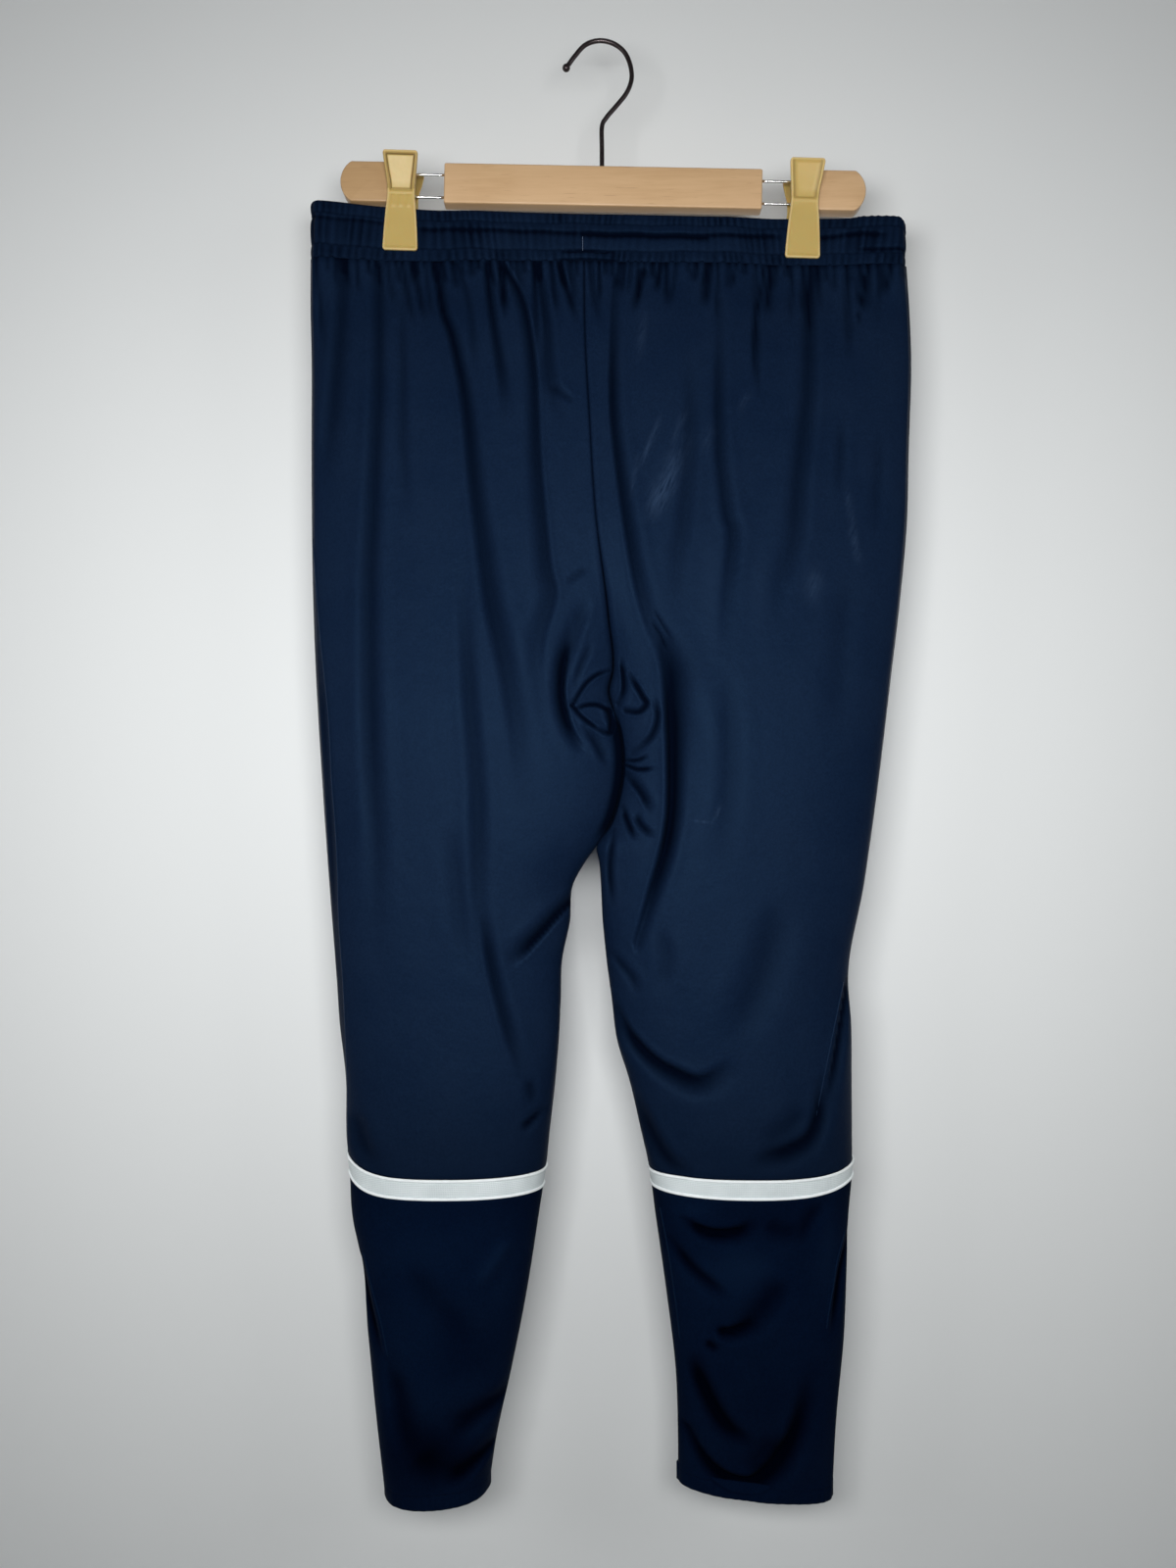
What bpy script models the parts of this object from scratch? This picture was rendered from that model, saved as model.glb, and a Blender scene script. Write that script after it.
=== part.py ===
"""Track pants held by the waistband in a wooden clip hanger.

Metres, +Z up. The origin is the inner top of the hook, where the hanger rests on its support.
The garment's back faces -Y, so the wearer's left leg is at -X. Tables are in millimetres: a drop
is the distance below the origin, and depths are measured out from the plane y = 0 in which the
side seams, inseams and hanger lie. Back depths go to -Y and front depths to +Y.
"""

import math
from collections import namedtuple

import bmesh
import bpy
import numpy as np
from mathutils import Vector

MM = 0.001

# Cloth
WALL = 1.5  # knitted panel
HEM_WALL = 2.6  # the turned-up hem, two layers
HEM_HEIGHT = 13.0
HEM_STEP = 1.5  # height over which the hem's second layer sets in
BAND_WALL = 1.8  # calf band with its two pipings
BAND_SWELL = 0.5  # how far a piping stands out of the band
WAIST_WALL = 2.7  # elastic in its casing
SEAM_GAP = 0.3
SEAT_TOP = 170.0  # the waist seam's drop, before its own slope is added
CROTCH_DROP = 508.6
PINCH_HEIGHT = 150.0  # the seat narrows towards the crotch over this height
ROUNDNESS = 2.4  # superellipse power of a hanging leg's section
FOLD_ROOM = 9.0  # folds die out where the cloth lies nearer than this to the side seams' plane
EDGE_CROWDING = 0.55  # how strongly a panel's columns crowd towards where the cloth turns

# Mesh density
BACK_COLUMNS = 16
FRONT_COLUMNS = 12
SEAT_ROWS = 10
THIGH_ROWS = 12
CALF_ROWS = 8
WAIST_COLUMNS = 176  # one rib for every two

# Gathers
GATHER_ROWS = ((0.0, 1.0), (12.0, 0.8), (28.0, 0.4), (52.0, 0.0))  # drop below the seam, strength
GATHER_DEPTH = 1.3
RIB_DEPTH = 0.9
CHANNEL_DEPTH = 0.6
WAIST_LEVELS = (  # share of the waistband's height, how far the casing is pulled in there
    (0.0, 0.7),
    (0.13, 0.0),
    (0.27, CHANNEL_DEPTH),
    (0.53, 0.0),
    (0.80, CHANNEL_DEPTH),
    (0.90, 0.0),
    (1.0, 0.3),
)
WAIST_DEPTH = 9.0
CLIPPED_DEPTH = 4.5  # the waistband's half thickness between a clip's jaws
CLIPPED_HALF_WIDTH = 16.0
CLIPPED_REACH = 46.0
CLIPPED_SHARE = 0.48  # how much of its depth a panel loses under a clip
CLIPPED_DROP = 75.0  # the height over which it opens again
WAIST_END_ROUNDING = 9.0

# Angles in degrees above which an edge is shaded sharp
PLAIN_EDGE = 40
GATHER_EDGE = 25
RIB_EDGE = 12
BEVEL_ANGLE = 35  # and above which it is bevelled

# Hanger
HANGER_CENTRE = Vector((3.3, 0.0, -113.0))
HANGER_TILT = math.radians(1.1)
BAR_LENGTH = 242.2
BAR_HEIGHT = 30.4
BAR_THICKNESS = 13.0
WOOD_EASE = 1.0  # bevel along the wood's edges
END_INNER = 163.0
END_OUTER = 200.0
END_ARC_RADIUS = 18.4
WIRE_RADIUS = 1.0
WIRE_SPREAD = 8.6
CLIP_PLACE = 153.0
CLIP_BELOW_CENTRE = 6.6
CLIP_TILT = math.radians(0.7)
LEVER_WALL = 2.5
HOOK_RADIUS = 1.8
HOOK_BALL_RADIUS = 3.0
HOOK_SIDES = 10

Side = namedtuple("Side", "drop left right")
OUTSEAMS = (
    Side(165, -220.5, 235.0),
    Side(207, -220.5, 237.8),
    Side(237, -219.8, 239.0),
    Side(312, -219.8, 237.2),
    Side(372, -219.5, 235.5),
    Side(417, -218.8, 231.5),
    Side(492, -216.0, 222.8),
    Side(567, -211.5, 213.8),
    Side(642, -206.3, 203.3),
    Side(717, -200.5, 190.8),
    Side(747, -198.5, 193.0),
    Side(792, -193.5, 193.5),
    Side(837, -192.5, 193.5),
    Side(852, -190.5, 193.5),
    Side(897, -187.5, 190.0),
    Side(927, -181.0, 189.0),
    Side(987, -175.5, 187.0),
    Side(1047, -169.5, 181.5),
    Side(1115, -161.5, 178.0),
)
INSEAMS = (
    Side(CROTCH_DROP, 10.5, 10.5),
    Side(521, 13.5, 15.8),
    Side(553, 16.5, 19.0),
    Side(575, 13.5, 16.0),
    Side(599, 7.0, 10.0),
    Side(614, -1.5, 1.5),
    Side(627, -10.5, 0.8),
    Side(642, -19.0, 1.5),
    Side(672, -22.0, 3.0),
    Side(702, -28.0, 6.0),
    Side(732, -29.0, 10.0),
    Side(762, -30.5, 13.8),
    Side(792, -33.0, 23.0),
    Side(837, -38.0, 33.5),
    Side(852, -39.5, 37.0),
    Side(897, -46.0, 43.5),
    Side(957, -55.5, 52.0),
    Side(1017, -67.5, 59.0),
    Side(1062, -77.5, 60.5),
    Side(1115, -85.5, 60.5),
)

Seam = namedtuple("Seam", "drop x")
CENTRE_SEAM = (
    Seam(165, -11.3),
    Seam(229, -10.5),
    Seam(285, -7.5),
    Seam(366, -2.3),
    Seam(441, 7.3),
    Seam(481, 10.2),
    Seam(CROTCH_DROP, 10.5),
)

Depth = namedtuple("Depth", "drop left_back left_front right_back right_front")
DEPTHS = (
    Depth(165, 9, 9, 9, 9),
    Depth(230, 15, 12, 15, 12),
    Depth(342, 20, 14, 20, 14),
    Depth(447, 23, 15, 23, 15),
    Depth(537, 26, 17, 26, 17),
    Depth(642, 28, 19, 29, 19),
    Depth(762, 31, 22, 33, 22),
    Depth(862, 37, 25, 37, 24),
    Depth(957, 34, 29, 30, 18),
    Depth(1115, 34, 36, 21, 10),
)

WaistEdge = namedtuple("WaistEdge", "x top seam")
WAIST_EDGES = (
    WaistEdge(-221, 122.5, 166.7),
    WaistEdge(-175, 125.4, 167.8),
    WaistEdge(-115, 129.7, 169.0),
    WaistEdge(-41, 132.7, 170.2),
    WaistEdge(33, 134.2, 171.0),
    WaistEdge(108, 135.6, 171.5),
    WaistEdge(182, 135.4, 171.9),
    WaistEdge(236, 136.4, 172.2),
)

LegEdge = namedtuple("LegEdge", "outer inner sag")  # drops at the outseam and inseam, dip between
BAND_TOP = {"left": LegEdge(849.0, 857.5, 4.5), "right": LegEdge(852.1, 857.8, 2.2)}
BAND_FOOT = {"left": LegEdge(867.8, 872.2, 3.0), "right": LegEdge(868.5, 873.8, 1.8)}
HEM = {"left": LegEdge(1105.0, 1104.0, 0.0), "right": LegEdge(1112.0, 1098.0, 0.0)}

# A fold is a soft trough along a bowed line from its head to its tail. It starts with the strength
# named in head and fades towards the tail. A negative depth makes a ridge.
Fold = namedtuple("Fold", "x0 drop0 x1 drop1 bow width depth head")
BACK_FOLDS = (
    Fold(-193, 168, -207, 291, 0, 8, 2.0, 1.0),
    Fold(-167, 171, -163, 700, -2, 11, 2.5, 0.6),
    Fold(-148, 219, -147, 317, 0, 8, 2.0, 0.2),
    Fold(-125, 170, -63, 554, 3, 9, 4.0, 0.9),
    Fold(-86, 172, -73, 248, 0, 8, 2.5, 1.0),
    Fold(-71, 176, -36, 425, 7, 8, 4.0, 0.7),
    Fold(-34, 420, -46, 473, 3, 8, 3.0, 0.3),
    Fold(-104, 412, -61, 777, -8, 12, 3.0, 0.0),
    Fold(-21, 658, -57, 693, 0, 8, 6.0, 0.4),
    Fold(-23, 474, -15, 539, -8, 7, 6.0, 0.0),
    Fold(7, 481, -20, 509, 0, 7, 4.0, 0.3),
    Fold(-51, 788, -47, 809, 0, 8, 3.0, 0.3),
    Fold(12, 199, 56, 545, -12, 10, 4.5, 0.3),
    Fold(59, 560, 27, 690, 2, 8, 8.0, 0.3),
    Fold(69, 236, 58, 439, 2, 9, 2.0, 0.2),
    Fold(90, 209, 93, 465, 5, 9, 3.0, 0.5),
    Fold(117, 190, 120, 274, 0, 8, 2.0, 0.6),
    Fold(166, 177, 132, 448, 6, 10, 3.5, 0.6),
    Fold(21, 486, 36, 515, 4, 7, 4.0, 0.2),
    Fold(28, 548, 40, 567, 4, 7, 3.5, 0.2),
    Fold(16, 743, 88, 771, -20, 9, 7.0, 0.3),
    Fold(118, 674, 92, 751, 0, 14, 3.0, 0.0),
    Fold(34, 817, 58, 841, -3, 8, 3.5, 0.3),
    Fold(166, 799, 118, 844, 17, 8, 4.0, 0.3),
    Fold(187, 719, 169, 817, -3, 8, 4.0, 0.3),
    Fold(67, 892, 113, 882, -11, 8, 4.0, 0.2),
    Fold(55, 911, 97, 948, -1, 8, 4.0, 0.2),
    Fold(68, 1022, 101, 1060, -4, 8, 3.0, 0.2),
    Fold(73, 1058, 150, 1066, -22, 8, 3.5, 0.3),
    Fold(161, 1011, 150, 1066, -3, 8, 3.0, 0.2),
    Fold(-65, 895, -100, 942, 0, 9, -2.5, 0.2),
    Fold(-71, 1023, -111, 1046, 0, 8, 3.0, 0.3),
    Fold(-82, 1057, -103, 1081, 2, 8, 3.0, 0.3),
    Fold(-152, 1021, -147, 1046, 0, 8, 2.5, 0.2),
)
FRONT_FOLDS = (
    Fold(-150, 170, -140, 600, 4, 12, 2.5, 0.7),
    Fold(-95, 171, -70, 420, -5, 11, 3.0, 0.8),
    Fold(-50, 171, -40, 330, 3, 10, 2.5, 1.0),
    Fold(40, 172, 45, 400, -4, 11, 3.0, 0.8),
    Fold(95, 172, 105, 560, 6, 12, 3.0, 0.7),
    Fold(170, 173, 150, 470, -5, 12, 2.5, 0.7),
    Fold(-30, 500, -70, 560, -6, 10, 3.0, 0.2),
    Fold(40, 500, 80, 570, 6, 10, 3.0, 0.2),
    Fold(-40, 660, -80, 700, 3, 10, 3.0, 0.0),
    Fold(30, 650, 70, 700, -3, 10, 3.0, 0.0),
    Fold(-160, 775, -75, 790, -12, 11, 4.0, 0.0),
    Fold(55, 765, 150, 785, -14, 11, 4.0, 0.0),
    Fold(-155, 905, -85, 930, -8, 10, 3.0, 0.0),
    Fold(75, 925, 155, 905, -8, 10, 3.0, 0.0),
    Fold(-145, 1045, -100, 1070, -5, 10, 3.0, 0.0),
    Fold(80, 1035, 140, 1060, -6, 10, 2.5, 0.0),
)

LeverStation = namedtuple("LeverStation", "height width out")  # from the ridge; out to the outer face
LEVER = (
    LeverStation(-45.5, 24.5, 7.4),
    LeverStation(-44.0, 27.0, 7.5),
    LeverStation(-22.0, 24.3, 9.0),
    LeverStation(0.0, 22.0, 10.6),
    LeverStation(12.0, 24.4, 15.4),
    LeverStation(22.5, 26.7, 19.9),
    LeverStation(24.0, 23.5, 20.5),
)
SPRING_BLOCK = ((-7.7, -0.4), (7.7, -0.4), (12.9, 13.4), (-12.9, 13.4))  # depth, height
SPRING_BLOCK_WIDTH = 15.0

HookPoint = namedtuple("HookPoint", "x drop")  # centre line of the wire, from the bar to the tip
HOOK_ROUTE = (
    HookPoint(2.4, 97.2),
    HookPoint(2.4, 80.0),
    HookPoint(2.4, 64.1),
    HookPoint(5.7, 57.2),
    HookPoint(13.4, 48.1),
    HookPoint(20.3, 39.6),
    HookPoint(24.0, 32.0),
    HookPoint(25.2, 24.3),
    HookPoint(23.3, 14.3),
    HookPoint(18.7, 5.9),
    HookPoint(10.5, 0.1),
    HookPoint(0.0, -1.8),
    HookPoint(-10.5, 1.6),
    HookPoint(-18.8, 10.6),
    HookPoint(-24.9, 19.0),
)
HOOK_STEPS = 3  # smooth points for each stretch of the route
BALL_STEPS = (-2.4, -1.3, 0.0, 1.3, 2.4, 2.9)  # distance past the ball's centre

NAVY = (0.010, 0.018, 0.045, 1.0)
DARK_NAVY = (0.004, 0.008, 0.024, 1.0)
WHITE = (0.70, 0.75, 0.75, 1.0)
BEECH = (0.55, 0.36, 0.20, 1.0)
OCHRE = (0.55, 0.38, 0.11, 1.0)
STEEL = (0.70, 0.68, 0.66, 1.0)
BROWN_STEEL = (0.035, 0.028, 0.030, 1.0)


def material(name, colour, roughness, metallic=0.0):
    made = bpy.data.materials.new(name)
    made.use_nodes = True
    shader = made.node_tree.nodes["Principled BSDF"]
    shader.inputs["Base Color"].default_value = colour
    shader.inputs["Roughness"].default_value = roughness
    shader.inputs["Metallic"].default_value = metallic
    made.diffuse_color = colour
    return made


def smoothstep(value):
    value = np.clip(value, 0.0, 1.0)
    return value * value * (3.0 - 2.0 * value)


def read_table(rows, key, column, at):
    """The column's value at each key, on a smooth curve through the table's rows."""
    keys = np.array([getattr(row, key) for row in rows], float)
    values = np.array([getattr(row, column) for row in rows], float)
    slopes = np.gradient(values, keys)
    at = np.clip(np.asarray(at, float), keys[0], keys[-1])
    low = np.clip(np.searchsorted(keys, at, side="right") - 1, 0, len(keys) - 2)
    step = keys[low + 1] - keys[low]
    t = (at - keys[low]) / step
    return (
        values[low] * (1 + 2 * t) * (1 - t) ** 2
        + slopes[low] * step * t * (1 - t) ** 2
        + values[low + 1] * t * t * (3 - 2 * t)
        + slopes[low + 1] * step * t * t * (t - 1)
    )


def leg_level(side, face, edges, across, shift):
    """Drop of a seam round a leg, from the outseam at 0 to the inseam at 1. It sags on the back."""
    edge = edges[side]
    sag = edge.sag if face == "back" else 0.0
    return edge.outer + (edge.inner - edge.outer) * across + sag * 4 * across * (1 - across) + shift


def pinched(drop):
    """0 where the seat is one wide tube, 1 where the legs are two tubes."""
    return smoothstep(1 + (drop - CROTCH_DROP) / PINCH_HEIGHT)


def fold_sink(folds, x, drop):
    """How far the folds sink the cloth at each point."""
    sink = np.zeros_like(x)
    for fold in folds:
        start = np.array([fold.x0, fold.drop0], float)
        run = np.array([fold.x1, fold.drop1], float) - start
        length = math.hypot(*run)
        along = np.clip(((x - start[0]) * run[0] + (drop - start[1]) * run[1]) / length**2, 0, 1)
        bow = fold.bow * 4 * along * (1 - along) / length
        away = np.hypot(
            x - start[0] - run[0] * along - run[1] * bow,
            drop - start[1] - run[1] * along + run[0] * bow,
        )
        strength = fold.head + (1 - fold.head) * smoothstep(along / 0.3)
        strength *= smoothstep((1 - along) / 0.35)
        sink += fold.depth * strength * np.exp(-((away / fold.width) ** 2))
    return sink


def across_steps(columns, leg_share):
    """Shares of the way from the outseam to the centre, closer together where the cloth turns."""
    even = np.linspace(0, 1, columns + 1)
    seat = even + EDGE_CROWDING * (1 - np.cos(np.pi * even / 2) - even)
    leg = even + EDGE_CROWDING * ((1 - np.cos(np.pi * even)) / 2 - even)
    return seat * (1 - leg_share) + leg * leg_share


def clipped(x):
    """1 where a clip holds the waistband flat, 0 away from the clips."""
    share = np.zeros_like(x)
    for way in (-1, 1):
        away = np.abs(x - HANGER_CENTRE.x - way * CLIP_PLACE) - CLIPPED_HALF_WIDTH
        share = np.maximum(share, 1 - smoothstep(away / CLIPPED_REACH))
    return share


def cloth_row(side, face, across, drop):
    """Points (x, y, z) of one row of a panel's outer face, with the folds."""
    leg_share = pinched(drop)
    outer = read_table(OUTSEAMS, "drop", side, drop)
    inner = np.where(
        drop < CROTCH_DROP,
        read_table(CENTRE_SEAM, "drop", "x", drop),
        read_table(INSEAMS, "drop", side, drop),
    )
    inner = inner - np.sign(inner - outer) * SEAM_GAP / 2
    x = outer + (inner - outer) * across
    seat_shape = (1 - (1 - across) ** ROUNDNESS) ** (1 / ROUNDNESS)
    leg_shape = (1 - np.abs(2 * across - 1) ** ROUNDNESS) ** (1 / ROUNDNESS)
    depth = read_table(DEPTHS, "drop", f"{side}_{face}", drop)
    depth = depth * (seat_shape * (1 - leg_share) + leg_shape * leg_share)
    depth *= 1 - CLIPPED_SHARE * clipped(x) * (1 - smoothstep((drop - SEAT_TOP) / CLIPPED_DROP))
    folds = BACK_FOLDS if face == "back" else FRONT_FOLDS
    depth = depth - fold_sink(folds, x, drop) * (1 - np.exp(-((depth / FOLD_ROOM) ** 2)))
    out = -1.0 if face == "back" else 1.0
    return np.stack([x, out * (depth + SEAM_GAP / 2), -drop], axis=1)


def columns_of(face):
    return BACK_COLUMNS if face == "back" else FRONT_COLUMNS


def upper_rows(side, face):
    """Outer points of a panel from the waist seam to the calf band, gathered along its top."""
    columns = columns_of(face)
    out = -1.0 if face == "back" else 1.0
    rows = []
    for level, (below, strength) in enumerate(GATHER_ROWS):
        count = columns if level == len(GATHER_ROWS) - 1 else 2 * columns
        across = across_steps(count, 0.0)
        x = cloth_row(side, face, across, np.full(count + 1, SEAT_TOP))[:, 0]
        seam = read_table(WAIST_EDGES, "x", "seam", x) + SEAM_GAP / 2
        points = cloth_row(side, face, across, seam + below)
        place = np.arange(count + 1)
        ripple = np.where(place % 2, 0.6 + 0.4 * np.sin(2.3 * place), -0.6)  # crests of uneven height
        ripple[[0, -1]] = 0.0
        points[:, 1] += out * GATHER_DEPTH * strength * ripple
        rows.append(points)
    first = GATHER_ROWS[-1][0]
    for step in range(1, SEAT_ROWS + 1):
        share = step / SEAT_ROWS
        nominal = SEAT_TOP + first + share * (CROTCH_DROP - SEAT_TOP - first)
        across = across_steps(columns, float(pinched(nominal)))
        x = cloth_row(side, face, across, np.full(columns + 1, nominal))[:, 0]
        start = read_table(WAIST_EDGES, "x", "seam", x) + SEAM_GAP / 2 + first
        rows.append(cloth_row(side, face, across, start + share * (CROTCH_DROP - start)))
    across = across_steps(columns, 1.0)
    foot = leg_level(side, face, BAND_TOP, across, -SEAM_GAP / 2)
    for step in range(1, THIGH_ROWS + 1):
        share = step / THIGH_ROWS
        rows.append(cloth_row(side, face, across, CROTCH_DROP + share * (foot - CROTCH_DROP)))
    return rows


def calf_rows(side, face):
    """Outer points of a panel from the calf band to the hem, and the wall at each row."""
    across = across_steps(columns_of(face), 1.0)
    top = leg_level(side, face, BAND_FOOT, across, SEAM_GAP / 2)
    foot = leg_level(side, face, HEM, across, 0.0)
    hem_top = foot - HEM_HEIGHT
    rows = []
    walls = []
    for step in range(CALF_ROWS + 1):
        rows.append(cloth_row(side, face, across, top + step / CALF_ROWS * (hem_top - top)))
        walls.append(WALL)
    rows.append(cloth_row(side, face, across, hem_top + HEM_STEP))
    rows.append(cloth_row(side, face, across, foot))
    walls.extend((HEM_WALL, HEM_WALL))
    return rows, walls


def surface_normals(rows, out):
    """Unit normals of a surface given as rows of points, pointing to the side out of y = 0."""
    bm = bmesh.new()
    verts = [[bm.verts.new(point) for point in row] for row in rows]
    add_surface(bm, verts, False)
    bm.normal_update()
    normals = [np.array([vert.normal for vert in row]) for row in verts]
    bm.free()
    middle = normals[0][len(normals[0]) // 2]
    turn = 1.0 if middle[1] * out > 0 else -1.0
    return [row * turn for row in normals]


def add_surface(bm, verts, flip):
    """Triangles between neighbouring rows, also where a row has half the columns of the one above.

    Both faces of a wall get the same diagonals, so a twisted cell keeps its thickness.
    """
    for upper, lower in zip(verts, verts[1:]):
        cells = []
        for j in range(len(lower) - 1):
            if len(upper) == len(lower):
                cells.append((upper[j], lower[j], lower[j + 1]))
                cells.append((upper[j], lower[j + 1], upper[j + 1]))
            else:
                left, middle, right = upper[2 * j : 2 * j + 3]
                cells.append((left, lower[j], middle))
                cells.append((middle, lower[j], lower[j + 1]))
                cells.append((middle, lower[j + 1], right))
        for cell in cells:
            bm.faces.new(cell[::-1] if flip else cell)


def add_object(name, bm, finish, sharp):
    bmesh.ops.recalc_face_normals(bm, faces=bm.faces)
    mesh = bpy.data.meshes.new(name)
    bm.to_mesh(mesh)
    bm.free()
    mesh.materials.append(finish)
    mesh.shade_smooth()
    mesh.set_sharp_from_angle(angle=math.radians(sharp))
    made = bpy.data.objects.new(name, mesh)
    bpy.context.scene.collection.objects.link(made)
    return made


def panel(name, side, face, rows, walls, cloth):
    """A cloth wall behind the given outer points, its edges square to its seams."""
    out = -1.0 if face == "back" else 1.0
    outward = -1.0 if side == "left" else 1.0
    normals = surface_normals(rows, out)
    inner_rows = []
    for points, normal, wall in zip(rows, normals, walls):
        normal = normal.copy()
        drop = -points[-1, 2]
        normal[0] = (outward, 0.0, 0.0)
        normal[-1] = (0.0, out, 0.0) if drop < CROTCH_DROP - 1 else (-outward, 0.0, 0.0)
        if points is rows[0] or points is rows[-1]:
            normal[:, 2] = 0.0
        normal /= np.linalg.norm(normal, axis=1)[:, None]
        inner_rows.append(points - normal * wall)
    bm = bmesh.new()
    outer_verts = [[bm.verts.new(point * MM) for point in row] for row in rows]
    inner_verts = [[bm.verts.new(point * MM) for point in row] for row in inner_rows]
    add_surface(bm, outer_verts, False)
    add_surface(bm, inner_verts, True)
    rims = [(outer_verts[0], inner_verts[0]), (outer_verts[-1], inner_verts[-1])]
    for end in (0, -1):
        rims.append(([row[end] for row in outer_verts], [row[end] for row in inner_verts]))
    for outer_rim, inner_rim in rims:
        for j in range(len(outer_rim) - 1):
            bm.faces.new((outer_rim[j], outer_rim[j + 1], inner_rim[j + 1], inner_rim[j]))
    return add_object(name, bm, cloth, GATHER_EDGE)


def ring_normals(points):
    """Normals, in the horizontal plane, of a ring of points that runs anticlockwise seen from above."""
    ahead = np.roll(points, -1, axis=0) - np.roll(points, 1, axis=0)
    normals = np.stack([ahead[:, 1], -ahead[:, 0], np.zeros(len(points))], axis=1)
    return normals / np.linalg.norm(normals, axis=1)[:, None]


def ring(name, outer_rows, inner_rows, cloth, sharp):
    """A closed band of cloth between rows of outer points and rows of inner points."""
    bm = bmesh.new()
    loops = [[bm.verts.new(point * MM) for point in row] for row in outer_rows + inner_rows[::-1]]
    count = len(loops[0])
    for upper, lower in zip(loops, loops[1:] + loops[:1]):
        for j in range(count):
            k = (j + 1) % count
            bm.faces.new((upper[j], lower[j], lower[k], upper[k]))
    return add_object(name, bm, cloth, sharp)


def calf_band(side, cloth):
    """The mesh band round a leg, with a piping along its top and foot."""
    levels = ((0.0, BAND_SWELL), (0.2, 0.0), (0.8, 0.0), (1.0, BAND_SWELL))
    loops = []
    for share, swell in levels:
        halves = []
        for face in ("back", "front"):
            across = across_steps(columns_of(face), 1.0)
            top = leg_level(side, face, BAND_TOP, across, SEAM_GAP / 2)
            foot = leg_level(side, face, BAND_FOOT, across, -SEAM_GAP / 2)
            points = cloth_row(side, face, across, top + share * (foot - top))
            points[[0, -1], 1] = 0.0
            halves.append(points)
        back, front = halves
        loop = np.concatenate([back, front[-2:0:-1]])
        if side == "right":
            loop = loop[::-1]
        loops.append((loop, ring_normals(loop), swell))
    outer_rows = [loop + normals * swell for loop, normals, swell in loops]
    inner_rows = [loop - normals * BAND_WALL for loop, normals, _ in (loops[0], loops[-1])]
    return ring(f"calf_band_{side}", outer_rows, inner_rows, cloth, PLAIN_EDGE)


def waist_loop():
    """Plan of the waistband: evenly spaced points round a flattened loop, anticlockwise."""
    left, right = OUTSEAMS[0].left, OUTSEAMS[0].right
    turn = (1 - np.cos(np.linspace(0, np.pi, 400))) / 2
    x = left + (right - left) * turn
    from_end = np.clip(np.minimum(x - left, right - x) / WAIST_END_ROUNDING, 0, 1)
    depth = (WAIST_DEPTH - (WAIST_DEPTH - CLIPPED_DEPTH) * clipped(x)) * np.sqrt(1 - (1 - from_end) ** 2)
    plan_x = np.concatenate([x, x[-2:0:-1]])
    plan_y = np.concatenate([-depth, depth[-2:0:-1]])
    closed_x = np.append(plan_x, plan_x[0])
    closed_y = np.append(plan_y, plan_y[0])
    reach = np.concatenate([[0.0], np.cumsum(np.hypot(np.diff(closed_x), np.diff(closed_y)))])
    at = np.arange(WAIST_COLUMNS) / WAIST_COLUMNS * reach[-1]
    return np.stack([np.interp(at, reach, closed_x), np.interp(at, reach, closed_y)], axis=1)


def waistband(cloth):
    """The elastic casing: ribs all round, drawn in along two stitched channels."""
    plan = waist_loop()
    flat = np.column_stack([plan, np.zeros(len(plan))])
    normals = ring_normals(flat)
    rib = RIB_DEPTH * (np.arange(len(plan)) % 2)
    top = read_table(WAIST_EDGES, "x", "top", plan[:, 0])
    seam = read_table(WAIST_EDGES, "x", "seam", plan[:, 0]) - SEAM_GAP / 2
    outer_rows = []
    for share, pulled_in in WAIST_LEVELS:
        points = flat - normals * (rib + pulled_in)[:, None]
        points[:, 2] = -(top + share * (seam - top))
        outer_rows.append(points)
    inner_rows = []
    for drop in (top, seam):
        points = flat - normals * WAIST_WALL
        points[:, 2] = -drop
        inner_rows.append(points)
    return ring("waistband", outer_rows, inner_rows, cloth, RIB_EDGE)


def prism(name, outline, length, finish, parent, place, tilt=0.0, ease=0.0):
    """An outline in (depth, height) or (x, height) pushed along the other level axis, with eased edges."""
    bm = bmesh.new()
    verts = [bm.verts.new(Vector(point) * MM) for point in outline]
    face = bm.faces.new(verts)
    pushed = bmesh.ops.extrude_face_region(bm, geom=[face])["geom"]
    moved = [item for item in pushed if isinstance(item, bmesh.types.BMVert)]
    bmesh.ops.translate(bm, verts=moved, vec=Vector(length) * MM)
    made = add_object(name, bm, finish, PLAIN_EDGE)
    made.parent = parent
    made.location = Vector(place) * MM
    made.rotation_euler.y = tilt
    if ease:
        bevel = made.modifiers.new("eased edges", "BEVEL")
        bevel.width = ease * MM
        bevel.segments = 2
        bevel.limit_method = "ANGLE"
        bevel.angle_limit = math.radians(BEVEL_ANGLE)
    return made


def hanger_bar(hanger, wood):
    half_length, half_height, half_thickness = BAR_LENGTH / 2, BAR_HEIGHT / 2, BAR_THICKNESS / 2
    outline = [
        (-half_length, -half_thickness, -half_height),
        (half_length, -half_thickness, -half_height),
        (half_length, -half_thickness, half_height),
        (-half_length, -half_thickness, half_height),
    ]
    prism("hanger_bar", outline, (0, BAR_THICKNESS, 0), wood, hanger, (0, 0, 0), ease=WOOD_EASE)


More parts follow.
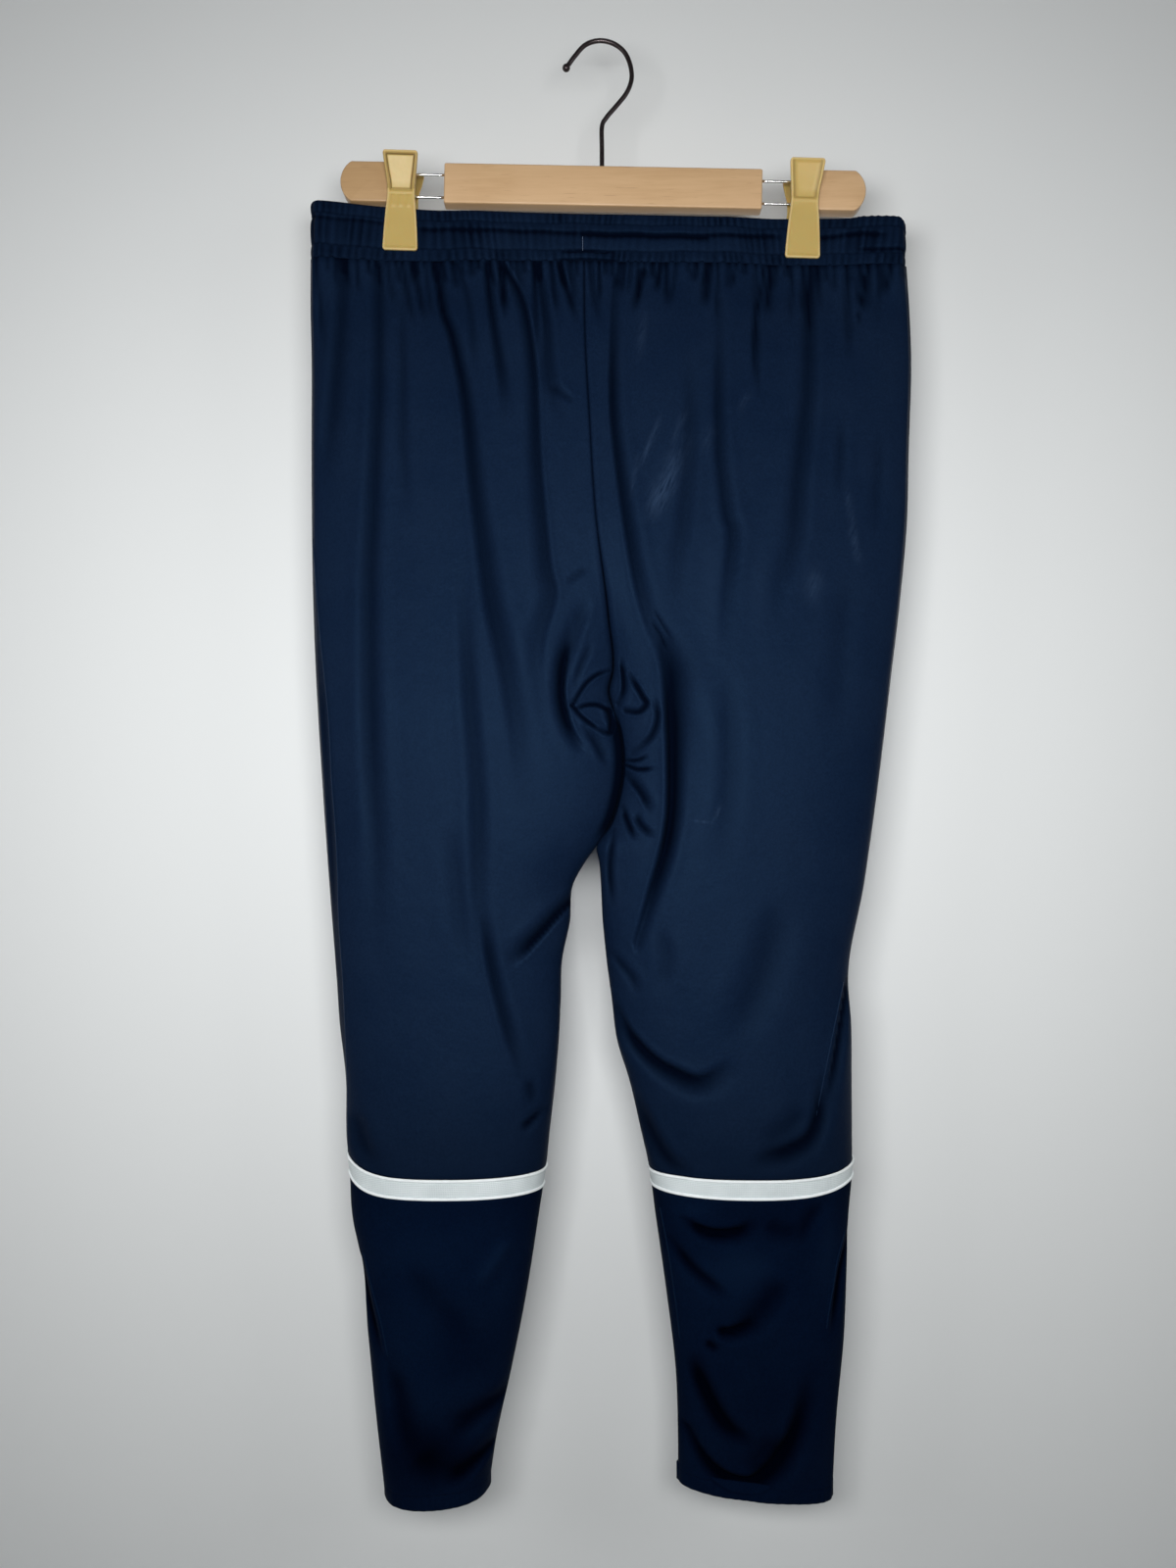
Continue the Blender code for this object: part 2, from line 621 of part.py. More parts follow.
def hanger_end(side, hanger, wood):
    """A short beech block with a rounded outer end."""
    way = -1 if side == "left" else 1
    half_height = BAR_HEIGHT / 2
    half_angle = math.asin(half_height / END_ARC_RADIUS)
    centre = END_OUTER - END_ARC_RADIUS
    outline = [(way * END_INNER, -BAR_THICKNESS / 2, -half_height)]
    for step in range(13):
        angle = half_angle * (step / 6 - 1)
        x = way * (centre + END_ARC_RADIUS * math.cos(angle))
        outline.append((x, -BAR_THICKNESS / 2, END_ARC_RADIUS * math.sin(angle)))
    outline.append((way * END_INNER, -BAR_THICKNESS / 2, half_height))
    prism(f"hanger_end_{side}", outline, (0, BAR_THICKNESS, 0), wood, hanger, (0, 0, 0), ease=WOOD_EASE)


def hanger_wire(side, level, hanger, steel):
    """A steel wire that a clip slides on, from the bar to the end block."""
    way = -1 if side == "left" else 1
    start = BAR_LENGTH / 2 + SEAM_GAP
    length = END_INNER - SEAM_GAP - start
    bm = bmesh.new()
    bmesh.ops.create_cone(
        bm,
        cap_ends=True,
        segments=12,
        radius1=WIRE_RADIUS * MM,
        radius2=WIRE_RADIUS * MM,
        depth=length * MM,
    )
    made = add_object(f"wire_{level}_{side}", bm, steel, PLAIN_EDGE)
    made.parent = hanger
    made.rotation_euler.y = math.pi / 2
    height = WIRE_SPREAD if level == "upper" else -WIRE_SPREAD
    made.location = Vector((way * (start + length / 2), 0, height)) * MM


def clip_lever(side, face, clip, plastic):
    """One lever of a clip: jaw below the ridge, flared handle above it."""
    out = -1.0 if face == "back" else 1.0
    bm = bmesh.new()
    stations = []
    for station in LEVER:
        half = station.width / 2
        outer = out * station.out
        inner = out * (station.out - LEVER_WALL)
        corners = ((-half, outer), (half, outer), (half, inner), (-half, inner))
        stations.append([bm.verts.new(Vector((x, y, station.height)) * MM) for x, y in corners])
    for low, high in zip(stations, stations[1:]):
        for j in range(4):
            k = (j + 1) % 4
            bm.faces.new((low[j], low[k], high[k], high[j]))
    bm.faces.new(stations[0])
    bm.faces.new(stations[-1])
    made = add_object(f"clip_{side}_{face}_lever", bm, plastic, PLAIN_EDGE)
    made.parent = clip
    bevel = made.modifiers.new("eased edges", "BEVEL")
    bevel.width = 0.6 * MM
    bevel.segments = 2
    bevel.limit_method = "ANGLE"
    bevel.angle_limit = math.radians(BEVEL_ANGLE)


def clip_spring_block(side, clip, plastic):
    """The block round a clip's spring, between its levers and between the two wires."""
    half = SPRING_BLOCK_WIDTH / 2
    outline = [(-half, depth, height) for depth, height in SPRING_BLOCK]
    length = (SPRING_BLOCK_WIDTH, 0, 0)
    prism(f"clip_{side}_spring", outline, length, plastic, clip, (0, 0, 0), ease=0.5)


def hanger_clip(side, hanger, plastic):
    way = -1 if side == "left" else 1
    clip = bpy.data.objects.new(f"clip_{side}", None)
    bpy.context.scene.collection.objects.link(clip)
    clip.parent = hanger
    clip.location = Vector((way * CLIP_PLACE, 0, -CLIP_BELOW_CENTRE)) * MM
    clip.rotation_euler.y = CLIP_TILT
    for face in ("back", "front"):
        clip_lever(side, face, clip, plastic)
    clip_spring_block(side, clip, plastic)


def smooth_route(route):
    """Points on a smooth curve through the route's own points."""
    points = [Vector((point.x, 0, -point.drop)) for point in route]
    padded = [2 * points[0] - points[1]] + points + [2 * points[-1] - points[-2]]
    smooth = []
    for before, start, end, after in zip(padded, padded[1:], padded[2:], padded[3:]):
        for step in range(HOOK_STEPS):
            t = step / HOOK_STEPS
            smooth.append(
                0.5
                * (
                    2 * start
                    + (end - before) * t
                    + (2 * before - 5 * start + 4 * end - after) * t**2
                    + (3 * start - before - 3 * end + after) * t**3
                )
            )
    return smooth


def hook(steel):
    """The hanger's wire hook, whose tip swells into a small ball."""
    line = smooth_route(HOOK_ROUTE)
    tip = Vector((HOOK_ROUTE[-1].x, 0, -HOOK_ROUTE[-1].drop))
    ahead = (tip - line[-1]).normalized()
    knots = [(point, 1.0) for point in line if (tip - point).length > HOOK_BALL_RADIUS]
    for step in BALL_STEPS:
        radius = math.sqrt(HOOK_BALL_RADIUS**2 - step**2)
        knots.append((tip + ahead * step, radius / HOOK_RADIUS))
    curve = bpy.data.curves.new("hook", "CURVE")
    curve.dimensions = "3D"
    curve.bevel_depth = HOOK_RADIUS * MM
    curve.bevel_resolution = HOOK_SIDES // 2 - 2
    curve.use_fill_caps = True
    spline = curve.splines.new("POLY")
    spline.points.add(len(knots) - 1)
    for knot, (point, radius) in zip(spline.points, knots):
        knot.co = (*(point * MM), 1.0)
        knot.radius = radius
    curve.materials.append(steel)
    bpy.context.scene.collection.objects.link(bpy.data.objects.new("hook", curve))


def main():
    for old in list(bpy.data.objects):
        bpy.data.objects.remove(old)
    navy = material("navy knit", NAVY, 0.62)
    dark_navy = material("dark navy knit", DARK_NAVY, 0.75)
    white = material("white mesh", WHITE, 0.70)
    beech = material("beech", BEECH, 0.50)
    ochre = material("ochre plastic", OCHRE, 0.38)
    steel = material("bright steel", STEEL, 0.22, 1.0)
    brown_steel = material("brown steel", BROWN_STEEL, 0.35, 0.6)

    waistband(navy)
    for side in ("left", "right"):
        for face in ("back", "front"):
            rows = upper_rows(side, face)
            panel(f"{face}_{side}", side, face, rows, [WALL] * len(rows), navy)
            rows, walls = calf_rows(side, face)
            panel(f"calf_{face}_{side}", side, face, rows, walls, dark_navy)
        calf_band(side, white)

    hanger = bpy.data.objects.new("hanger", None)
    bpy.context.scene.collection.objects.link(hanger)
    hanger.location = HANGER_CENTRE * MM
    hanger.rotation_euler.y = HANGER_TILT
    hanger_bar(hanger, beech)
    for side in ("left", "right"):
        hanger_end(side, hanger, beech)
        hanger_clip(side, hanger, ochre)
        for level in ("upper", "lower"):
            hanger_wire(side, level, hanger, steel)
    hook(brown_steel)


main()
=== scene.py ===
"""Track pants hanging by the waistband from a wooden clip hanger, seen from the back.

Tables are in millimetres. A drop is the distance below the origin, the hook's inner top, and a
depth is measured out from the plane y = 0 in which the side seams, inseams and hanger lie.
"""

import math
from collections import namedtuple

import bmesh
import bpy
import numpy as np
from mathutils import Matrix, Vector

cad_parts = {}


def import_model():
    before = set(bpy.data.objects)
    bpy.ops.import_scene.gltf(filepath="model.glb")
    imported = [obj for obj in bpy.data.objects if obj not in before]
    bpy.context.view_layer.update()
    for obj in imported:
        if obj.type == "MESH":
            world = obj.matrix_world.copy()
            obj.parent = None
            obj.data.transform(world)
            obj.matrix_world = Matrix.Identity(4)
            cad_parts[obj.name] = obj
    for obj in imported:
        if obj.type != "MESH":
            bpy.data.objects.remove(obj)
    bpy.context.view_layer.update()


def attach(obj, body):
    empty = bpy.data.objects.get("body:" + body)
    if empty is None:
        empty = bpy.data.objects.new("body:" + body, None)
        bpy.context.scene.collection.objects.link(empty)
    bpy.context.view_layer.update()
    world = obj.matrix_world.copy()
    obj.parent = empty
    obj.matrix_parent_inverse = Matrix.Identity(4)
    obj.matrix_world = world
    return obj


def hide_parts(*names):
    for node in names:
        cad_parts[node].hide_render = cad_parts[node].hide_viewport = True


MM = 0.001
WAY = {"left": -1, "right": 1}
OUT = {"back": -1.0, "front": 1.0}

# ---------------------------------------------------------------- sizes
CLOTH_WALL = 1.2
HEM_WALL = 2.6
HEM_HEIGHT = 13.0
HEM_STITCHING = 11.0  # height of the hem's stitching above its edge
HEM_RIPPLE = 0.14
HEM_RIPPLE_PITCH = 7.0
HEM_SHARE = 0.9  # below this share of a calf panel's length its rows are finest
WAIST_WALL = 2.6
BAND_WALL = 1.6
PIPING_RADIUS = 1.15
SEAM_GAP = 0.3
SEAM_GROOVE = 1.1
PUCKER_HEIGHT = 0.25
PUCKER_PITCH = 9.0
HAIRLINE = 0.01
SEAT_TOP = 170.0
CROTCH_DROP = 508.6
THIGH_FOOT = 857.0
PINCH_HEIGHT = 150.0
ROUNDNESS = 2.4
FOLD_ROOM = 0.85  # share of the cloth's depth that its folds may sink
SHOULDER = 0.22  # height of the cloth thrown up beside a fold, as a share of its depth
SHOULDER_LIMIT = 3.5
CREASE_REACH = 4.5  # half widths from a crease to where it has no effect
CLEFT_TOP = 512.0  # where the legs part, and how wide the shadow between them is
CLEFT_FOOT = 596.0
CLEFT_WIDTH = 7.0
STROKE_SLANT = math.radians(25)
STROKE_STRETCH = 7.7
SHADED_STEEPNESS = 1.25  # a fold this deep for its half width is fully shaded at its bottom
CENTRE_X = 10.0
GATHER_LENGTHS = (11, 19, 30, 46, 72)
GATHER_SHARES = (0.24, 0.26, 0.26, 0.16, 0.08)

COLUMNS = {"back": 134, "front": 64}
ROW_STEPS = {"back": (2.8, 0.95), "front": (4.2, 4.2)}
BUSY_DROPS = (462, 612)  # the crotch's small creases, where the back has its finest rows
WAIST_COLUMNS = 1400
WAIST_ROWS = 48
INNER_CROWDING = 0.75
BAND_COLUMNS = 120

WAIST_DEPTH = 9.0
CLIPPED_DEPTH = 4.5
CLIPPED_HALF_WIDTH = 16.0
CLIPPED_REACH = 46.0
CLIPPED_SHARE = 0.48
CLIPPED_DROP = 75.0
WAIST_BLEND = 42.0  # height over which the panels take up the waistband's flat form
WAIST_END_ROUNDING = 9.0
WAIST_END_FALL = 7.0  # fall of its top edge over that rounding
SCALLOPS_FROM = 190.0  # x from which the top edge stands up in scallops
SCALLOP_RISE = 1.6

HANGER_CENTRE = Vector((3.3, 0.0, -112.0))
HANGER_TILT = math.radians(1.1)
BAR_LENGTH = 242.2
BAR_HEIGHT = 30.4
BAR_THICKNESS = 13.0
END_INNER = 163.0
END_OUTER = 200.0
END_ARC_RADIUS = 18.4
WIRE_RADIUS = 1.0
WIRE_SPREAD = 8.6
CLIP_PLACE = 153.0
CLIP_BELOW_CENTRE = 6.6
CLIP_TILT = math.radians(0.7)
LEVER_WALL = 2.5
COIL_TURNS = 5
COIL_RADIUS = 3.6
COIL_REACH = 5.5
COIL_HEIGHT = 6.4
HOOK_RADIUS = 1.8
HOOK_BALL_RADIUS = 3.0

TACK_X = -12.3  # the short pale bar tack on the waistband
TACK_DROPS = (152.5, 162.0)

WALL_Y = 85.0
WALL_TOP = 1500.0
WALL_BEND = 300.0
WALL_REACH = 4200.0
FLOOR_Z = -1620.0


def table_of(kind, *rows):
    """A table's rows as named tuples."""
    return tuple(kind(*row) for row in rows)


Side = namedtuple("Side", "drop left right")
OUTSEAMS = table_of(
    Side,
    (165, -220.5, 235),
    (207, -220.5, 237.8),
    (237, -219.8, 239),
    (312, -219.8, 237.2),
    (372, -219.5, 235.5),
    (417, -218.8, 231.5),
    (492, -216, 222.8),
    (567, -211.5, 213.8),
    (642, -206.3, 203.3),
    (717, -200.5, 190.8),
    (747, -198.5, 193),
    (792, -193.5, 193.5),
    (837, -192.5, 193.5),
    (852, -190.5, 193.5),
    (897, -187.5, 190),
    (927, -181, 189),
    (987, -175.5, 187),
    (1047, -169.5, 181.5),
    (1115, -161.5, 178),
)
INSEAMS = table_of(
    Side,
    (CROTCH_DROP, 10.5, 10.5),
    (521, 14.8, 14.5),
    (553, 18.7, 18.4),
    (575, 15.8, 15.5),
    (599, 8, 7.7),
    (614, -1.5, -1.6),
    (627, -10.5, 0.4),
    (642, -19, 1.5),
    (672, -22, 3),
    (702, -28, 6),
    (732, -29, 10),
    (762, -30.5, 13.8),
    (792, -33, 23),
    (837, -38, 33.5),
    (852, -39.5, 37),
    (897, -46, 43.5),
    (957, -55.5, 52),
    (1017, -67.5, 59),
    (1062, -77.5, 60.5),
    (1115, -85.5, 60.5),
)
Seam = namedtuple("Seam", "drop x")
CENTRE_SEAM = table_of(
    Seam,
    (165, -11.3),
    (229, -10.5),
    (285, -7.5),
    (366, -2.3),
    (441, 7.3),
    (481, 10.6),
    (497, 7.6),
    (CROTCH_DROP, 10.5),
)
Depth = namedtuple("Depth", "drop left_back left_front right_back right_front")
DEPTHS = table_of(
    Depth,
    (165, 9, 9, 9, 9),
    (230, 15, 12, 15, 12),
    (342, 20, 14, 20, 14),
    (447, 23, 15, 23, 15),
    (537, 26, 17, 26, 17),
    (642, 28, 19, 29, 19),
    (762, 31, 22, 33, 22),
    (862, 37, 25, 37, 24),
    (957, 34, 29, 30, 18),
    (1115, 34, 36, 21, 10),
)
WaistEdge = namedtuple("WaistEdge", "x top seam")
WAIST_EDGES = table_of(
    WaistEdge,
    (-221, 122.5, 166.7),
    (-175, 125.4, 167.8),
    (-115, 129.7, 169),
    (-41, 132.7, 170.2),
    (33, 134.2, 171),
    (108, 135.6, 171.5),
    (182, 135.4, 171.9),
    (236, 136.4, 172.2),
)
LegEdge = namedtuple("LegEdge", "outer inner sag steepness", defaults=(0.0, 1))
BAND_TOP = {"left": LegEdge(845.0, 857.5, 1.0, 12), "right": LegEdge(851.0, 857.8, 1.0, 10)}
BAND_FOOT = {"left": LegEdge(860.6, 872.2, 1.2, 14), "right": LegEdge(863.0, 871.0, 2.4, 9)}
HEM = {"left": LegEdge(1106.0, 1101.0), "right": LegEdge(1110.5, 1098.0)}

# ---------------------------------------------------------------- folds
# A crease runs smoothly through its points (x, drop). wide0 and wide1 are its half widths at head
# and tail, lean makes its right side softer than its left, and head and tail are the strength
# that it keeps at its ends. A negative depth is a ridge.
Crease = namedtuple("Crease", "path wide0 wide1 depth lean head tail", defaults=(0, 0, 0))
CREASES = {
    "back_left": table_of(
        Crease,
        (((-194, 169), (-198, 230), (-204, 290), (-210, 345)), 4, 6, 3, 0.2, 1),
        (((-168, 171), (-167, 260), (-171, 360), (-173, 420), (-171, 534), (-167, 610),
          (-166, 669), (-163, 730)), 3.6, 7, 3.6, 0, 0.9),
        (((-150, 190), (-148, 250), (-148, 305), (-144, 375)), 2.4, 4, 1.7, 0, 0.2),
        (((-142, 170), (-131, 220)), 2, 3, 2.4, 0.2, 1),
        (((-125, 170), (-119, 207), (-111, 230), (-101, 278), (-94, 341), (-82, 426), (-69, 485),
          (-61, 534), (-56, 575), (-48, 600)), 2.6, 7.5, 4.4, 0.3, 1),
        (((-108, 171), (-98, 205), (-92, 260)), 2, 3, 1.6, 0, 1),
        (((-86, 172), (-81, 212), (-73, 262), (-70, 300)), 2.2, 4, 3.2, 0.2, 1),
        (((-71, 174), (-57, 202), (-49, 253), (-46, 325), (-39, 402), (-35, 424), (-44, 458),
          (-46, 490), (-41, 530)), 2.4, 6, 3.6, -0.45, 0.9),
        (((-47, 172), (-40, 215), (-36, 265), (-24, 300)), 2.4, 5, 2.8, 0, 0.9),
        (((-38, 266), (-28, 273), (-17, 281)), 2.6, 2.4, 1.6),
        (((-26, 418), (-15, 409), (-4, 405)), 2.4, 2, 1.2),
        (((-30, 173), (-20, 205), (-15, 222)), 1.8, 2.5, 2, 0, 0.8),
        (((-106, 388), (-101, 436), (-96, 509), (-91, 571), (-90, 640), (-87, 690),
          (-76, 735)), 4, 6, 2.6, 0.1),
        (((-88, 652), (-80, 704), (-68, 750), (-57, 782), (-51, 798)), 3, 4.6, 3.2, 0.3),
        (((-112, 590), (-104, 660), (-97, 715)), 6, 7, 1.6),
        (((-19, 656), (-31, 667), (-44, 681), (-57, 694), (-70, 704)), 3.2, 4.4, 6, -0.6, 0.9),
        (((-59, 824), (-50, 817), (-42, 811)), 3, 3, 3, -0.3, 0, 0.3),
        (((-53, 787), (-47, 806)), 3.5, 4, 2.2),
        (((-184, 810), (-176, 836), (-164, 850)), 6, 7, 3, 0, 0, 0.2),
        (((-6, 424), (-15, 448), (-23, 472), (-27, 498)), 5.5, 5, 2.2, -0.4),
        (((-21, 453), (-25.5, 474), (-27.5, 495), (-25.5, 512), (-20, 528),
          (-9, 546)), 3.3, 3, 8, -0.5, 0.1),
        (((8, 481), (-2, 485), (-11, 493), (-20, 508)), 1.2, 1.2, 2.4, 0, 0.4, 0.8),
        (((-20, 508), (-13, 516), (-4, 523), (3, 528)), 1.2, 1.4, 2.3, -0.2, 0.9, 0.3),
        (((-17, 511), (-9, 508), (0, 508), (8, 512)), 1.1, 1.7, 3, 0.3, 0.4, 1),
        (((8, 512), (10, 520), (8, 528), (2, 526)), 2.4, 1.6, 4, 0, 1, 0.3),
        (((-4, 458), (-14, 480), (-20, 497)), 2.4, 2, 1.2),
        (((-10, 524), (0, 540), (8, 556)), 3, 4, 2.4, 0.3, 0.3),
    ),
    "back_right": table_of(
        Crease,
        (((12, 186), (10, 270), (14, 320), (24, 388), (33, 431), (45, 470),
          (53, 500)), 2.6, 4.6, 3.6, 0.35, 0.4),
        (((38, 436), (50, 468), (58, 500), (61, 535), (62, 567)), 5, 8.5, 3.4, 0.4, 0, 0.2),
        (((48, 463), (51, 486), (53, 510), (54.5, 545), (53.8, 588), (48, 620), (39, 650),
          (28, 686)), 5, 3.2, 12, 0.3, 0.1, 0.25),
        (((11, 602), (8, 630), (10, 662)), 2, 2.4, 2.4, 0, 0.4),
        (((39, 433), (48, 448), (57, 462)), 1.1, 1.1, 0.9),
        (((38, 443), (46, 455), (52, 468)), 1, 1, 0.8),
        (((34, 178), (26, 213)), 2.6, 2.6, 2.4, -0.2, 1),
        (((48, 172), (42, 196)), 2.2, 2.4, 1.8, 0, 1),
        (((69, 230), (69, 304), (64, 368), (59, 397), (58, 450)), 4, 6, 2.2),
        (((85, 172), (80, 208)), 3, 3, 3.4, -0.2, 1),
        (((92, 200), (90, 270), (91, 320), (96, 363), (100, 380), (95, 431),
          (93, 480)), 3, 5, 3, 0.2, 0.2),
        (((118, 205), (117, 240), (121, 280)), 2, 2.4, 2, 0.3, 0.2),
        (((131, 172), (129, 215)), 3, 3.5, 2, 0.2, 1),
        (((166, 172), (161, 206), (159, 270), (152, 337), (147, 388), (135, 419),
          (131, 460)), 4, 7, 3.8, -0.1, 1),
        (((205, 172), (204, 212)), 2.8, 3, 2.6, 0, 1),
        (((190, 400), (182, 470), (178, 540)), 8, 10, 1.5),
        (((184, 288), (183, 320), (181, 352)), 3, 3.6, 1.6),
        (((214, 296), (212, 340), (208, 384)), 4, 4.4, 1.3),
        (((96, 470), (98, 540), (94, 600), (86, 640)), 6, 8, 1.4),
        (((23, 484), (28, 492), (33, 501), (36, 507), (30, 513),
          (20, 512)), 1.5, 1.8, 3.4, -0.2, 0.3, 0.6),
        (((16, 472), (18, 486), (18, 497), (14, 506)), 1.2, 2, 2.8, 0.3, 0.1, 0.5),
        (((41, 500), (44, 516), (40, 530), (31, 539), (25, 543)), 1.6, 2.2, 2.4, 0, 0, 0.4),
        (((21, 549), (29, 549), (38, 545)), 1.2, 1.2, 1.8, 0, 0.6),
        (((21, 553), (30, 556), (42, 555)), 1.2, 1.4, 2.6, 0, 0.8, 0.1),
        (((20, 560), (31, 573), (40, 590)), 2.6, 2.4, 3, 0.3, 0.5),
        (((18, 584), (22, 596), (28, 610)), 2, 2, 3, -0.2, 0.3),
        (((27, 588), (32, 598), (42, 607)), 2.2, 2.2, 2.6),
        (((9, 694), (17, 703), (25, 713), (29, 726)), 2.6, 3.6, 2.2, 0, 0.4),
        (((46, 672), (50, 700), (44, 726)), 5, 6, 1.6),
        (((14, 736), (24, 754), (40, 771), (58, 781), (74, 786), (90, 779),
          (103, 768)), 3.8, 6.4, 7.5, -0.5, 0.2),
        (((136, 650), (126, 698), (112, 735), (99, 768)), 11, 12, 3.4),
        (((29, 804), (40, 829), (54, 849), (74, 858)), 4.6, 6, 4, -0.2, 0.3),
        (((165, 788), (163, 812), (155, 829), (140, 837), (124, 842),
          (107, 851)), 4.6, 6.6, 6, 0.3, 0.2),
        (((155, 804), (140, 822), (114, 834)), 8, 8, 2.4),
        (((187, 716), (180, 752), (173, 787), (167, 810)), 2.2, 4, 4.4, 0.5, 0.8),
    ),
    "front_left": table_of(
        Crease,
        (((-150, 170), (-146, 380), (-140, 600)), 5, 10, 2.8, 0.2, 0.9),
        (((-95, 171), (-84, 300), (-70, 420)), 4, 8, 3.2, -0.3, 1),
        (((-50, 171), (-44, 250), (-40, 330)), 3.5, 6, 2.6, 0.2, 1),
        (((-180, 171), (-188, 260)), 3.5, 5, 2.2, 0, 1),
        (((-12, 470), (-28, 510), (-60, 556)), 5, 7, 4, -0.2, 0.2),
        (((-24, 655), (-50, 672), (-82, 700)), 5, 7, 3.4, -0.3, 0.4),
        (((-160, 775), (-120, 792), (-75, 790)), 5, 7, 3.6),
        (((-110, 430), (-104, 560), (-96, 680)), 7, 9, 2.2),
    ),
    "front_right": table_of(
        Crease,
        (((40, 172), (46, 280), (45, 400)), 4, 8, 3, 0.3, 1),
        (((95, 172), (104, 360), (105, 560)), 5, 9, 3, -0.2, 1),
        (((170, 173), (163, 320), (150, 470)), 4, 9, 2.8, 0.2, 1),
        (((210, 172), (206, 240)), 3.5, 5, 2.2, 0, 1),
        (((28, 480), (48, 520), (80, 570)), 5, 7, 4, 0.2, 0.2),
        (((16, 650), (42, 672), (74, 700)), 5, 7, 3.2, 0.3, 0.4),
        (((55, 765), (100, 790), (150, 785)), 5, 7, 3.8),
        (((140, 500), (132, 620), (120, 720)), 7, 9, 2.2),
    ),
    "calf_back_left": table_of(
        Crease,
        (((-63, 900), (-79, 923), (-96, 943)), 5, 6, -2.2),
        (((-145, 921), (-128, 944), (-107, 970), (-97, 994)), 9, 12, 4),
        (((-71, 1028), (-84, 1034), (-98, 1041), (-112, 1050)), 6.5, 9, 7, -0.3, 0.8),
        (((-82, 1066), (-91, 1072), (-102, 1079), (-118, 1083)), 5, 8, 6.5, -0.4, 0.8),
        (((-156, 996), (-150, 1022), (-145, 1048), (-135, 1070)), 6.5, 11, 6, 0.2, 0.2, 0.2),
        (((-136, 1062), (-122, 1074), (-106, 1077)), 12, 12, 4, 0, 0, 0.2),
        (((-180, 925), (-174, 950), (-167, 976), (-161, 1000)), 2.6, 3.6, 4, -0.3, 0.5),
    ),
    "calf_back_right": table_of(
        Crease,
        (((64, 890), (77, 897), (90, 899), (105, 896), (116, 886)), 3.4, 6, 8, -0.4, 0.2),
        (((122, 890), (136, 899), (150, 896)), 7, 7, 3.4),
        (((168, 878), (156, 890), (146, 912)), 5, 6, 2.6, 0, 0.3),
        (((54, 908), (70, 928), (87, 942), (98, 955)), 4.4, 5, 5, -0.2, 0.3),
        (((86, 974), (98, 975), (112, 970)), 3, 5, 6, -0.2, 0, 0.5),
        (((140, 932), (128, 954), (114, 968), (96, 975)), 10, 9, 6.5, -0.3, 0, 0.3),
        (((79, 983), (89, 990)), 3.4, 3.4, 3.6),
        (((68, 990), (76, 1012), (88, 1036), (98, 1049), (111, 1059),
          (118, 1070)), 6, 6.5, 8.5, -0.2),
        (((67, 1052), (79, 1072), (95, 1086), (114, 1090), (132, 1078), (146, 1052), (155, 1022),
          (160, 994)), 4, 9, 9, -0.3, 0.4),
        (((108, 1080), (124, 1074), (140, 1052)), 11, 11, 6, 0, 0.2),
        (((188, 906), (181, 930), (177, 955), (174, 985)), 2.2, 3.4, 4, 0.4, 0.4),
    ),
    "calf_front_left": table_of(
        Crease,
        (((-158, 905), (-120, 925), (-82, 930)), 5, 7, 3),
        (((-150, 1040), (-126, 1062), (-100, 1072)), 5, 6, 2.8),
        (((-110, 950), (-118, 1010)), 6, 8, 2),
    ),
    "calf_front_right": table_of(
        Crease,
        (((72, 925), (112, 922), (158, 902)), 5, 7, 3),
        (((80, 1032), (108, 1054), (142, 1060)), 5, 6, 2.6),
        (((120, 940), (112, 1000)), 6, 8, 2),
    ),
}
SIDE_SEAM = (  # the left side seam swings on to the back, with a valley beside it
    (-218, 380), (-215, 415), (-211, 457), (-204.5, 513), (-201.5, 567), (-199, 595),
    (-197, 632), (-196, 672), (-192, 729), (-189.5, 809), (-189.5, 845),
)
SIDE_VALLEY = Crease(tuple((x - 4.5, drop) for x, drop in SIDE_SEAM), 2.6, 3.2, 2, 0, 0.2, 0.4)
# Pale edges of seams, low ridges that lie on the panels, with a painted highlight
SeamLine = namedtuple("SeamLine", "panel path")
SEAM_LINES = table_of(
    SeamLine,
    ("back_left", SIDE_SEAM),
    ("back_right", ((184, 716), (175, 752), (167, 787), (162, 814))),
    ("calf_back_left", ((-177, 919), (-170, 944), (-162, 970), (-157, 993))),
    ("calf_back_right", ((185, 903), (178.5, 923), (175.5, 941), (172, 960), (170, 974))),
    ("calf_back_right", ((46, 886), (52, 918), (57, 952), (61, 985))),
)

# Broad soft areas that the light leaves darker, or lighter where shade is negative
Zone = namedtuple("Zone", "x drop wide tall shade")
ZONES = table_of(
    Zone,
    (-115, 860, 130, 62, 0.36),
    (130, 862, 120, 58, 0.36),
    (-200, 250, 22, 120, 0.12),
    (83, 412, 10, 45, -0.32),
    (120, 418, 10, 36, -0.28),
    (161, 418, 9, 14, -0.24),
    (48, 336, 9, 22, -0.2),
    (60, 482, 12, 18, 0.25),
    (115, 1035, 80, 62, 0.25),
    (-128, 1068, 34, 26, 0.6),
    (-120, 1050, 20, 18, 0.3),
    (-95, 985, 22, 30, 0.3),
    (-120, 900, 60, 30, -0.3),
    (70, 882, 14, 8, -0.4),
    (105, 925, 26, 18, -0.45),
    (170, 905, 10, 30, -0.4),
)
